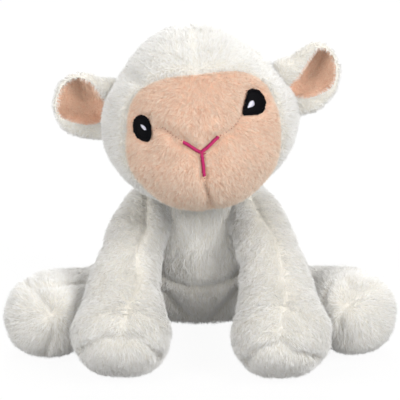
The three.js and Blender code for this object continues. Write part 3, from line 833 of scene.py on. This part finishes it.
def buildLimb(kind, v, side, sign):
    points, faces, centres, tangents = limbParts(v, sign)
    points = settle(points)
    tris = triangles(faces)
    points = lumps(points, tris, *v["lumps"], v["lumpSeed"] + sign, v["lumpRise"])

    def sewn():
        tree = treeOf(points, faces)
        seams = drawn(tree, *v["seams"][side])
        if "backSeam" in v:
            aim = Vector((sign * v["backAim"][0], *v["backAim"][1:])).normalized()
            seams.append({"line": castAll(tree, centres[8::6] * mm, aim), **v["backSeam"]})
        return seams

    root = np.clip((v["rootHold"] - np.linalg.norm(points - centres[0], axis=1)) / v["rootFade"], 0, 1)
    fixed = np.maximum(root, 1 - floorCover(points, *floorValues["grip"]))
    points = puff(points, faces, v["sides"], sewn(), fixed)
    normals = normalsOf(points, tris)
    hub = castLine(treeOf(points, faces), [v["hubs"][side]] * 2, 1)[0] if "hubs" in v else None
    points, short, part = groove(points, normals, sewn())
    if hub is not None:
        fromHub = points - hub
        reach = np.linalg.norm(fromHub, axis=1)
        points -= normals * (v["hubDepth"] * bell(reach, v["hubWidth"]))[:, None]
    points = clearOf(points, [f"{fill}_{side}" for fill in v["fills"]])
    nearest = np.argmin(np.linalg.norm(points[:, None, :] - centres[None, ::4], axis=2), axis=1) * 4
    nap = tangents[nearest] * v["combAlong"] + np.array(v["combDown"])
    if hub is not None:
        radial = (0.5 + 0.5 * np.tanh((v["combReach"] - reach) / v["combFade"]))[:, None]
        nap = nap * (1 - radial) + unit(fromHub) * radial * v["combOut"]
    skin = makeSkin(f"{kind}_{side}_Skin", points, faces, whiteBacking, nap + part, short, floorCover(points))
    rider = ("blend", "torso", f"{kind}_{side}", centres[0], centres[0] + tangents[0] * v["bend"])
    furnish(skin, whiteValues, whitePile, rider, [f"{panel}_{side}" for panel in v["panels"]])


def buildTail(v):
    points, faces, _, tangents = limbParts(v, 1)
    points = lumps(points, triangles(faces), *v["lumps"])
    nap = np.tile(tangents[len(tangents) // 2], (len(points), 1)) + np.array([0, 0, -0.2])
    ones = np.ones(len(points))
    skin = makeSkin("tail_Skin", points, faces, whiteBacking, nap, ones, ones)
    rider = ("blend", "torso", "tail", v["bendStart"], v["bendEnd"])
    furnish(skin, whiteValues, whitePile, rider, ["tail"])


for side, sign in (("left", 1), ("right", -1)):
    buildLimb("foreleg", forelegValues, side, sign)
    buildLimb("hindleg", hindlegValues, side, sign)
buildTail(tailValues)

# Head: one shape under a white hood and a peach face that meet along the face seam

headValues = {
    "centre": (1, -42, 138), "roll": -8.0,
    "halfWidth": 60.5, "halfDepth": 54, "topHeight": 66, "chinDrop": 43.4, "jawLean": 0.42,
    "crownTaper": 0.33, "crownShift": 2.7, "jawTaper": 0.23, "jawShift": 1.0,
    "muzzle": 5, "muzzleWidth": 0.5, "muzzleHeight": 0.4, "muzzleDrop": 0.15,
    "faceWidth": 46.2, "faceTop": 44.6, "faceBottom": 41, "topPower": 0.73, "bottomPower": 1.03,
    "faceTurn": 4.0, "faceShift": 1.2,
    "hoodInset": 2.0, "faceInset": 1.7,
    "sides": 180, "faceRows": 62, "hoodRows": 84,
    "lumps": (19, 1.0, 21), "slack": 1.4, "soften": 4,
    "backReach": (1.1, 2.9, 40), "eyeHold": 5, "eyeFade": 2,
    "combFan": 0.006, "combRear": 50, "combTurn": 0.6, "combDown": 0.4,
    "noseRise": 6, "faceReach": 30, "faceFan": 0.8,
    "eyeBare": 1.7, "eyeTrim": 0.45, "eyeReach": 3.5, "mouthBare": 2.0, "mouthTrim": 0.4, "mouthReach": 4,
    "overhang": 0.9, "overhangReach": 3.5, "overhangIn": 0.2, "overhangOn": 0.8, "hoodPart": 0.6,
    "neck": (0, -13, 92), "neckHold": 37, "neckFade": 4, "neckBare": 32.5, "frontEnd": -42,
    "edgeSeam": {"width": 2.2, "depth": 0.8, "part": 0.3, "trim": 0.15},
    "backSeam": {"width": 2.4, "depth": 1.3, **sewnIn},
    "crownSeam": ({"width": 2.6, "depth": 1.4, "part": 1.3, **sewnIn},
                  [(188, 20), (190, 24), (193, 38), (195, 55), (197, 72)]),
    "chinSeam": ({"width": 3.0, "depth": 1.0, "pucker": True, "part": 0.9},
                 [(204, 175), (206, 185), (209, 197), (212, 207)]),
    "crossSeams": ({"width": 2.6, "depth": 1.6, "trim": 0.4},
                   [(112, 74), (120, 68), (128, 72), (137, 79), (142, 82)],
                   [(251, 52), (256, 58), (259, 66), (262, 76)]),
    "eyeSeams": ({"width": 3.0, "depth": 1.3, "part": 0.6, "trim": 0.3},
                 [(150, 118), (152, 131), (161, 127), (173, 135), (184, 142)],
                 [(246, 91), (242, 113), (233, 127), (218, 137)]),
    "mouthSeams": ({"width": 3.0, "depth": 0.8, "part": 0.5, "hold": 3.4},
                   [(184, 142), (189.5, 145.5), (195.5, 149.5), (201, 152)],
                   [(217.5, 136.5), (213, 141.5), (207.5, 147), (202, 151.5)],
                   [(201.5, 152), (202.5, 160), (203.5, 168), (204.3, 175)]),
}
eyeShapes = {
    "right": {"outline": [(141, 114.5), (136.5, 118), (134.5, 125), (136, 133), (141, 139.5), (148.5, 142),
                          (151.5, 138), (152, 131), (150.5, 123), (146.5, 116.5)],
              "glint": [(141, 123.8), (144.5, 124.8), (147.2, 127.2), (148, 130.2), (145.3, 130), (142.2, 127.4)],
              "slant": 0.25},
    "left": {"outline": [(247, 91.5), (251, 89.3), (257, 91), (262.5, 97), (264.5, 104), (262.5, 111.5),
                         (257, 114.6), (249, 115), (242, 115), (243.5, 104)],
             "glint": [(248.6, 101.6), (251.6, 100.8), (253.9, 102.6), (254.2, 105.6), (252.2, 107.6), (249, 108.6),
                       (246.2, 108.8), (246.8, 104.6)],
             "slant": -0.1},
}
rollAngle = math.radians(headValues["roll"])
headTurn = np.array([[math.cos(rollAngle), 0, math.sin(rollAngle)], [0, 1, 0],
                     [-math.sin(rollAngle), 0, math.cos(rollAngle)]])


def fromHead(points):  # the head's own frame to the lamb's
    return np.asarray(points, float) @ headTurn.T + np.array(headValues["centre"])


def headShape(direction, inset):
    v = headValues
    x, y, z = direction[..., 0], direction[..., 1], direction[..., 2]
    over, under = np.maximum(z, 0), np.maximum(-z, 0)
    height = np.where(z > 0, v["topHeight"], v["chinDrop"]) - inset
    taper = 1 - v["crownTaper"] * over ** 2 - v["jawTaper"] * under ** 1.5
    bulge = np.exp(-(x / v["muzzleWidth"]) ** 2 - ((z + v["muzzleDrop"]) / v["muzzleHeight"]) ** 2)
    wide = (v["halfWidth"] - inset) * x * taper - v["crownShift"] * over - v["jawShift"] * under
    deep = (v["halfDepth"] - inset) * y - v["muzzle"] * bulge * np.maximum(-y, 0)
    return columns(wide, deep + v["jawLean"] * np.minimum(height * z, 0), height * z)


def aimAt(theta, phi):
    return columns(np.sin(phi) * np.cos(theta), -np.cos(phi), np.sin(phi) * np.sin(theta))


def faceEdge(theta):  # how far from the nose the face seam runs, for each way round
    v = headValues
    turn = math.radians(v["faceTurn"])
    low, high = np.full(len(theta), 0.2), np.full(len(theta), 1.5)
    for _ in range(40):
        mid = (low + high) / 2
        p = headShape(aimAt(theta, mid), v["faceInset"])
        x = (p[:, 0] - v["faceShift"]) * math.cos(turn) - p[:, 2] * math.sin(turn)
        z = (p[:, 0] - v["faceShift"]) * math.sin(turn) + p[:, 2] * math.cos(turn)
        power = np.where(z > 0, v["topPower"], v["bottomPower"])
        tall = np.where(z > 0, v["faceTop"], v["faceBottom"])
        outside = np.abs(x / v["faceWidth"]) ** (2 / power) + np.abs(z / tall) ** (2 / power) > 1
        high, low = np.where(outside, mid, high), np.where(outside, low, mid)
    return low


def headGrid(v):  # from the nose over the face seam to the nape
    theta = np.linspace(0, 2 * np.pi, v["sides"], endpoint=False)
    edge = faceEdge(theta)
    rings = [headShape(aimAt(np.zeros(1), np.zeros(1)), v["faceInset"])]
    for s in np.linspace(0, 1, v["faceRows"] + 1)[1:]:
        rings.append(headShape(aimAt(theta, edge * s), v["faceInset"]))
    for s in np.linspace(0, 1, v["hoodRows"] + 1)[1:-1]:
        inset = v["faceInset"] + (v["hoodInset"] - v["faceInset"]) * min(1, s * 12)
        rings.append(headShape(aimAt(theta, edge + (np.pi - edge) * s), inset))
    rings.append(headShape(aimAt(np.zeros(1), np.full(1, np.pi)), v["hoodInset"]))
    return np.vstack([fromHead(ring) for ring in rings])


def inside(points, outline):
    outline = np.asarray(outline, float)
    x, y = points[:, 0], points[:, 1]
    result = np.zeros(len(points), bool)
    for (ax, ay), (bx, by) in zip(outline, np.roll(outline, -1, axis=0)):
        crosses = (ay > y) != (by > y)
        result ^= crosses & (x < (bx - ax) * (y - ay) / (by - ay + 1e-12) + ax)
    return result


def planDistance(points, line):
    flat = np.column_stack([points, np.zeros(len(points))])
    return seamDistance(flat, np.column_stack([np.asarray(line, float), np.zeros(len(line))]))[0]


def eyeAreas(points):  # for each eye: which points lie in it, and how far each is from its rim
    pixels = toPhoto(points)
    for shape in eyeShapes.values():
        yield inside(pixels, shape["outline"]), planDistance(pixels, shape["outline"] + shape["outline"][:1])


def buildHead(v):
    whole = headGrid(v)
    sides = v["sides"]
    keep = 1 + v["faceRows"] * sides  # the face seam's ring ends the face and starts the hood
    start = keep - sides
    faces = outward(whole, ringFaces(v["faceRows"] + v["hoodRows"] - 1, sides))
    tris = triangles(faces)
    front = normalsOf(whole, tris)[:, 1] < 0
    whole = lumps(whole, tris, *v["lumps"])
    backDown = np.linspace(*v["backReach"])
    backLine = fromHead(headShape(aimAt(np.full(len(backDown), np.pi / 2), backDown), v["hoodInset"]))

    def sewn():
        tree = treeOf(whole, faces)
        return [{"line": np.vstack([whole[start:keep], whole[start:start + 1]]), **v["edgeSeam"]},
                *drawn(tree, v["crownSeam"]), {"line": backLine, **v["backSeam"]},
                *drawn(tree, v["chinSeam"], v["crossSeams"], v["eyeSeams"], v["mouthSeams"])]

    fixed = np.clip((v["neckHold"] - np.linalg.norm(whole - np.array(v["neck"]), axis=1)) / v["neckFade"], 0, 1)
    stiff = np.zeros(len(whole))  # the embroidery holds the face
    for within, rim in eyeAreas(whole):
        stiff = np.maximum(stiff, front * np.maximum(within, np.clip((v["eyeHold"] - rim) / v["eyeFade"], 0, 1)))
    whole = puff(whole, faces, sides, sewn(), fixed, stiff, v["slack"], v["soften"])
    seams = sewn()
    whole, short, part = groove(whole, normalsOf(whole, tris), seams)
    whole = clearOf(whole, ["head_stuffing"])
    # the hood is combed back from the face and down, the face down and outwards
    fromMiddle = whole - np.array(v["centre"])
    rear = v["combTurn"] * np.clip(fromMiddle[:, 1] / v["combRear"], 0, 1)
    backward = columns(fromMiddle[:, 0] * v["combFan"], 1 - rear, -v["combDown"] - rear)
    noseTip = whole[0] + np.array([0, 0, v["noseRise"]])
    fan = np.clip((whole[:, 0] - noseTip[0]) / v["faceReach"], -v["faceFan"], v["faceFan"])
    outwards = columns(fan, 0.0, -1.0)
    front = normalsOf(whole, tris)[:, 1] < 0
    cover = np.ones(len(whole))
    for within, rim in eyeAreas(whole):
        cover[front & (within | (rim < v["eyeBare"]))] = 0
        short[front] *= 1 - v["eyeTrim"] * bell(rim[front], v["eyeReach"])
    for line in v["mouthSeams"][1:]:
        apart = planDistance(toPhoto(whole), line)
        cover[front & (apart < v["mouthBare"])] = 0
        short[front] *= 1 - v["mouthTrim"] * bell(apart[front], v["mouthReach"])
    faceFaces, hoodFaces = splitFaces(faces, keep, start)
    faceSkin = makeSkin("faceSkin", whole[:keep], faceFaces, peachBacking, (outwards + part)[:keep], short[:keep],
                        cover[:keep])
    hood = whole[start:]
    edge = seamDistance(hood, seams[0]["line"])[0]
    over = (v["overhang"] * bell(edge, v["overhangReach"]))[:, None]  # the hood's pile hangs over the seam
    nap = (backward[start:] + part[start:] * v["hoodPart"]) * (1 - over)
    nap -= unit(fromMiddle[start:]) * over * v["overhangIn"]
    nap += unit(noseTip - hood) * over * v["overhangOn"]
    bared = np.where(np.linalg.norm(hood - np.array(v["neck"]), axis=1) < v["neckBare"], 0.0, 1.0)
    hoodSkin = makeSkin("hoodSkin", hood, hoodFaces, whiteBacking, nap, short[start:], bared)
    furnish(faceSkin, peachValues, peachPile, ("ride", "head"),
            ["face_bridge", "cheek_left", "cheek_right"])
    front = (hood[:, 1] < v["frontEnd"]).astype(float)
    furnish(hoodSkin, whiteValues, whitePile, ("ride", "head"),
            ["crown_left", "crown_right", "hood_left", "hood_right"], [("Front", front), ("Back", 1 - front)])
    return treeOf(whole, faces)


headTree = buildHead(headValues)
buildTorso(torsoValues)

# Ears: shallow cups, white behind and round the rim, peach inside

wideFold = {"width": 5.0, "depth": 3.2, "trim": 0.2, "part": 0.5}
narrowFold = {"width": 4.0, "depth": 2.2, "trim": 0.2, "part": 0.5}
earValues = {
    "centre": (70, 23), "depthAt": 4.0, "dish": 5.8, "dishPower": 2.2, "thick": 3.0, "back": 0.5,
    "rim": 3.0, "roll": 0.8, "inset": 1.5, "rimWidth": 1.2, "overhang": 1.3, "overhangRings": 5,
    "outline": {
        "left": [(44, 26), (48.4, 34.3), (57.5, 36.8), (66.4, 41.5), (75.5, 43.8), (83.5, 39), (88.5, 28),
                 (86.8, 16.4), (81.8, 7.6), (73.3, 1), (61.3, -1.7), (51.5, 0.5), (46, 12)],
        "right": [(44, 26), (45, 36), (55, 39.5), (65.8, 44.6), (75.5, 43.8), (83, 38.5), (87.8, 27.8),
                  (87.5, 16.1), (82, 7.5), (73, 2.6), (62, 0.2), (52, 2), (46, 12)],
    },
    "lining": {
        "left": [(54.8, 17), (61.7, 24), (67.2, 30.6), (72.1, 36.7), (77, 39.8), (82.6, 36.2), (84.8, 27),
                 (82.5, 16.4), (74.8, 11.5), (64.3, 9.8), (57.4, 12.7)],
        "right": [(55.5, 19.5), (55.8, 25.4), (58.5, 31.8), (62.3, 37.9), (71.2, 41.6), (79.0, 37.8), (84.4, 30),
                  (85.4, 22.4), (79.5, 15.7), (66.7, 11.4), (57.6, 14)],
    },
    "sides": 128, "liningRows": 34, "rimRows": 10, "backRows": 26,
    "lumps": (9, 0.7), "lumpSeed": 31, "foldLimit": 2.8,
    "root": (52, 4, 20), "hingeStart": (56, 6, 22), "hingeEnd": (64, 6, 22), "pile": 0.8, "liningLength": 2.3,
    "folds": {  # drawn on the photograph
        "right": [(wideFold, [(71, 81), (79, 92), (91, 101), (103, 108)]),
                  (narrowFold, [(62, 113), (76, 112), (90, 109.5), (102, 108)])],
        "left": [(wideFold, [(321, 55), (313, 68), (303, 80), (291, 90)]),
                 (narrowFold, [(322, 86), (306, 88), (291, 91)])],
    },
}


def radiusRound(outline, centre, theta):
    outline = np.asarray(outline, float) - np.array(centre)
    dense = catmull(np.vstack([outline, outline[:1]]), np.linspace(0, 1, 400))
    angle = np.arctan2(dense[:, 1], dense[:, 0])
    order = np.argsort(angle)
    return np.interp(theta, angle[order], np.linalg.norm(dense, axis=1)[order], period=2 * np.pi)


def buildEar(v, side, sign):
    theta = np.linspace(-np.pi, np.pi, v["sides"], endpoint=False)
    outer = radiusRound(v["outline"][side], v["centre"], theta) - v["inset"]
    lined = np.minimum(radiusRound(v["lining"][side], v["centre"], theta), outer - v["rimWidth"])
    cx, cz = v["centre"]

    def ring(radius, depth):
        return columns(sign * (cx + radius * np.cos(theta)), v["depthAt"] + depth, cz + radius * np.sin(theta))

    rings = []
    for s in np.linspace(0, 1, v["liningRows"] + 1)[1:]:
        rings.append(ring(lined * s, v["dish"] * (1 - s ** v["dishPower"]) - v["rim"] * s ** 4))
    for s in np.linspace(0, 1, v["rimRows"] + 1)[1:]:
        depth = -v["rim"] * math.cos(s * math.pi / 2) - v["roll"] * math.sin(s * math.pi)
        rings.append(ring(lined + (outer - lined) * math.sin(s * math.pi / 2), depth))
    for s in np.linspace(1, 0, v["backRows"] + 1)[1:-1]:
        rings.append(ring(outer * s, v["back"] + (v["dish"] + v["thick"]) * math.sqrt(1 - s ** 2)))
    first = [(sign * cx, v["depthAt"] + v["dish"], cz)]
    last = [(sign * cx, v["depthAt"] + v["dish"] + (v["back"] + v["thick"]), cz)]
    points = fromHead(np.vstack([first, *rings, last]))
    faces = outward(points - points.mean(0), ringFaces(len(rings), v["sides"]))
    tris = triangles(faces)
    normals = normalsOf(points, tris)
    points = lumps(points, tris, *v["lumps"], v["lumpSeed"] + sign)
    keep = 1 + v["liningRows"] * v["sides"]  # the seam's ring ends the lining and starts the outer
    start = keep - v["sides"]
    folded, _, part = groove(points, normals, drawn(treeOf(points, faces), *v["folds"][side]), v["foldLimit"])
    order = np.arange(len(points))
    points = np.where((order < keep)[:, None], folded, points)
    inward = np.clip(1 - (order - keep) / (v["sides"] * v["overhangRings"]), 0, 1)[:, None]
    nap = unit(points - fromHead([(sign * v["root"][0], *v["root"][1:])])[0]) + np.array([0, 0, -0.2])
    nap = nap * (1 - inward) + unit(points[0] - points) * inward * v["overhang"]  # the rim hangs over the lining
    liningNap = np.array([-0.3 * sign, 0, -1.0]) + part * 0.6
    ones = np.ones(len(points))
    liningFaces, outerFaces = splitFaces(faces, keep, start)
    lining = makeSkin(f"ear_{side}_liningSkin", points[:keep], liningFaces, peachBacking, liningNap[:keep],
                      ones[:keep] * v["pile"], ones[:keep])
    cloth = makeSkin(f"ear_{side}_outerSkin", points[start:], outerFaces, whiteBacking, nap[start:],
                     ones[start:] * v["pile"], ones[start:])
    hinge = fromHead([(sign * x, y, z) for x, y, z in (v["hingeStart"], v["hingeEnd"])])
    rider = ("blend", "head", f"ear_{side}", hinge[0], hinge[1])
    furnish(lining, {**peachValues, "Length": v["liningLength"]}, liningPile, rider,
            [f"ear_lining_{side}"])
    furnish(cloth, whiteValues, whitePile, rider, [f"ear_outer_{side}"])


for side, sign in (("left", 1), ("right", -1)):
    buildEar(earValues, side, sign)

# Embroidery and seam stitches: each thread is a stitch laid on the skin, from one pixel to another

stitchValues = {
    "eyePitch": 0.5, "eyeThread": 0.62, "eyeLift": 0.8, "uneven": 0.5,
    "rimWidth": 3.2, "rimCount": 96, "rimSize": 0.9, "rimLift": 1.3,
    "glintPitch": 0.5, "glintThread": 0.6, "glintLift": 1.6, "glintSlant": 0.25, "glintSize": 0.84,
    "mouthWidth": 4.0, "mouthPitch": 0.6, "mouthSlant": 0.35, "mouthLift": 1.5, "mouthThread": 0.75,
    "seamWidth": 1.6, "seamPitch": 3.2, "seamLift": 0.5, "seamThread": 0.5,
}


def castPoint(x, y):
    hit, normal, _, _ = headTree.ray_cast(*viewRay(x, y))
    return (np.array(hit) / mm, np.array(normal)) if hit is not None else (None, None)


def stitchesFrom(pairs, lift):  # the place, aim, upward side and length of each stitch
    rows = []
    for a, b in pairs:
        start, startNormal = castPoint(*a)
        end, endNormal = castPoint(*b)
        if start is None or end is None:
            continue
        up = unit(startNormal + endNormal)
        mid = castPoint((a[0] + b[0]) / 2, (a[1] + b[1]) / 2)[0]
        rows.append((mid + up * lift, unit(end - start), up, np.linalg.norm(end - start) * mm))
    return rows


def sew(name, rows, thread, material, replaced=()):
    spots, aims, ups, spans = zip(*rows)
    mesh = bpy.data.meshes.new("marks")
    mesh.from_pydata([tuple(p * mm) for p in spots], [], [])
    mark(mesh, {"aim": aims, "up": ups, "span": spans})
    marks = addObject("marks", mesh)
    piece = grow(marks, stitchMaker, {"Thread": thread, "Seed": len(rows), "Material": material}, name)
    bpy.data.objects.remove(marks)
    follow(piece, ("ride", "head"))
    if replaced:
        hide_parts(*replaced)
    print(f"{name}: {len(rows)} stitches")


def rounded(outline, count, size=1.0):
    closed = np.vstack([outline, outline[:1]])
    dense = catmull(closed, np.linspace(0, 1, count, endpoint=False))
    return dense if size == 1 else np.mean(dense, axis=0) + (dense - np.mean(dense, axis=0)) * size


def satinFill(outline, slant, pitch):  # parallel stitches across an outline
    centre = outline.mean(0)
    across = np.array([math.cos(slant), math.sin(slant)])
    down = np.array([-across[1], across[0]])
    edge = np.column_stack([(outline - centre) @ across, (outline - centre) @ down])
    pairs = []
    for h in np.arange(edge[:, 1].min() + pitch / 2, edge[:, 1].max(), pitch):
        cuts = []
        for (ax, ay), (bx, by) in zip(edge, np.roll(edge, -1, axis=0)):
            if (ay > h) != (by > h):
                cuts.append(ax + (bx - ax) * (h - ay) / (by - ay))
        if len(cuts) >= 2:
            pairs.append([centre + across * c + down * h for c in (min(cuts), max(cuts))])
    return pairs


def satinRim(outline, width, count):  # short stitches square to the outline
    ring = rounded(outline, count)
    tangent = unit(np.roll(ring, -1, axis=0) - np.roll(ring, 1, axis=0))
    normal = np.column_stack([-tangent[:, 1], tangent[:, 0]])
    return [[p - n * width / 2, p + n * width / 2] for p, n in zip(ring, normal)]


def satinLine(line, width, pitch, slant):
    dense = catmull(line, np.linspace(0, 1, 60))
    steps = np.r_[0, np.cumsum(np.linalg.norm(np.diff(dense, axis=0), axis=1))]

    def at(distance):
        return np.array([np.interp(distance, steps, dense[:, k]) for k in (0, 1)])

    pairs = []
    for m in np.arange(0, steps[-1], pitch):
        t = unit(at(min(m + 0.5, steps[-1])) - at(max(m - 0.5, 0)))
        half = (np.array([-t[1], t[0]]) + t * slant) * width / 2
        pairs.append([at(m) - half, at(m) + half])
    return pairs


def uneven(pairs, seed, amount):  # hand-guided stitches end a little short or long
    chance = np.random.default_rng(seed)
    made = []
    for a, b in pairs:
        along = unit(b - a)
        made.append([a - along * chance.uniform(-amount, amount), b + along * chance.uniform(-amount, amount)])
    return made


def embroider(v):
    for side, shape in eyeShapes.items():
        eye = rounded(shape["outline"], 60)
        fill = uneven(satinFill(eye, shape["slant"], v["eyePitch"]), 1, v["uneven"])
        core = rounded(shape["outline"], 60, v["rimSize"])
        rim = uneven(satinRim(core, v["rimWidth"], v["rimCount"]), 2, v["uneven"])
        sew(f"eye_{side}_satin", stitchesFrom(fill, v["eyeLift"]) + stitchesFrom(rim, v["rimLift"]), v["eyeThread"],
            blackThread, [f"eye_{side}"])
        glint = satinFill(rounded(shape["glint"], 40, v["glintSize"]), v["glintSlant"], v["glintPitch"])
        sew(f"glint_{side}_satin", stitchesFrom(glint, v["glintLift"]), v["glintThread"], silverThread,
            [f"eye_glint_{side}"])
    rows = []
    for line in headValues["mouthSeams"][1:]:
        rows += stitchesFrom(satinLine(line, v["mouthWidth"], v["mouthPitch"], v["mouthSlant"]), v["mouthLift"])
    sew("mouth_satin", rows, v["mouthThread"], pinkThread, ["mouth_stitch"])
    rows = []
    for line in (headValues["eyeSeams"][2], headValues["chinSeam"][1], headValues["eyeSeams"][1]):
        rows += stitchesFrom(satinLine(line, v["seamWidth"], v["seamPitch"], 0.0), v["seamLift"])
    sew("face_seam_stitches", rows, v["seamThread"], rustThread)


embroider(stitchValues)

# What is inside keeps its shape from the pattern

for name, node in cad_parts.items():
    look = pelletFill if "pellet" in name else fibreFill if "stuffing" in name else neckThread
    if look != neckThread or name == "neck_stitching":
        node.data.materials.clear()
        node.data.materials.append(look)
print("inner pieces dressed")

# Studio

studioValues = {
    "floorSize": 8.0,
    "floorColor": (0.4, 0.396, 0.39),
    "floorWhite": 0.88,
    "floorGlow": 1.075,
    "worldLight": 0.12,
    "aim": (0, -0.03, 0.09),
    "lamps": [  # place, size, watts: two large ones aside of the camera, a weak one under it and one behind
        ((0.94, -0.82, 0.95), 0.8, 17.4),
        ((-0.94, -0.82, 0.95), 0.8, 12.3),
        ((0, -1.48, 0.48), 0.8, 3.4),
        ((0, 1.03, 1.15), 0.8, 17.0),
    ],
}


def seenRays(make):  # 1 for what the camera sees, straight or in a gloss
    path = make.node("ShaderNodeLightPath").outputs
    total = path["Is Camera Ray"]
    for kind in ("Is Glossy Ray", "Is Transmission Ray"):
        total = make.math("MAXIMUM", total, path[kind])
    return total


def makeStudio(values):
    half = values["floorSize"] / 2
    mesh = bpy.data.meshes.new("floor")
    mesh.from_pydata([(-half, -half, 0), (half, -half, 0), (half, half, 0), (-half, half, 0)], [], [(0, 1, 2, 3)])
    addObject("floor", mesh)
    material, make, shader = newMaterial("floorWhite", 0.9, gloss=0.5)
    make.fill(shader, {"Base Color": (*values["floorColor"], 1)})
    glow = make.node("ShaderNodeEmission", {"Strength": values["floorGlow"]}).outputs[0]
    share = make.times(seenRays(make), values["floorWhite"])
    blend = make.node("ShaderNodeMixShader", {0: share, 1: shader.outputs[0], 2: glow}).outputs[0]
    make.fill(material.node_tree.nodes["Material Output"], {"Surface": blend})
    mesh.materials.append(material)
    world = bpy.data.worlds.new("studio")
    scene.world = world
    world.use_nodes = True
    make = TreeMaker(world.node_tree)
    level = make.node("ShaderNodeMapRange", {
        "Value": seenRays(make), "To Min": values["worldLight"], "To Max": 1.0}).outputs["Result"]
    make.fill(world.node_tree.nodes["Background"], {"Color": (1, 1, 1, 1), "Strength": level})
    for place, size, power in values["lamps"]:
        data = bpy.data.lights.new("lamp", "AREA")
        data.shape = "DISK"
        data.size = size
        data.energy = power
        lamp = addObject("lamp", data)
        lamp.location = place
        lamp.rotation_euler = (Vector(values["aim"]) - Vector(place)).to_track_quat("-Z", "Y").to_euler()


makeStudio(studioValues)
print("studio lit")
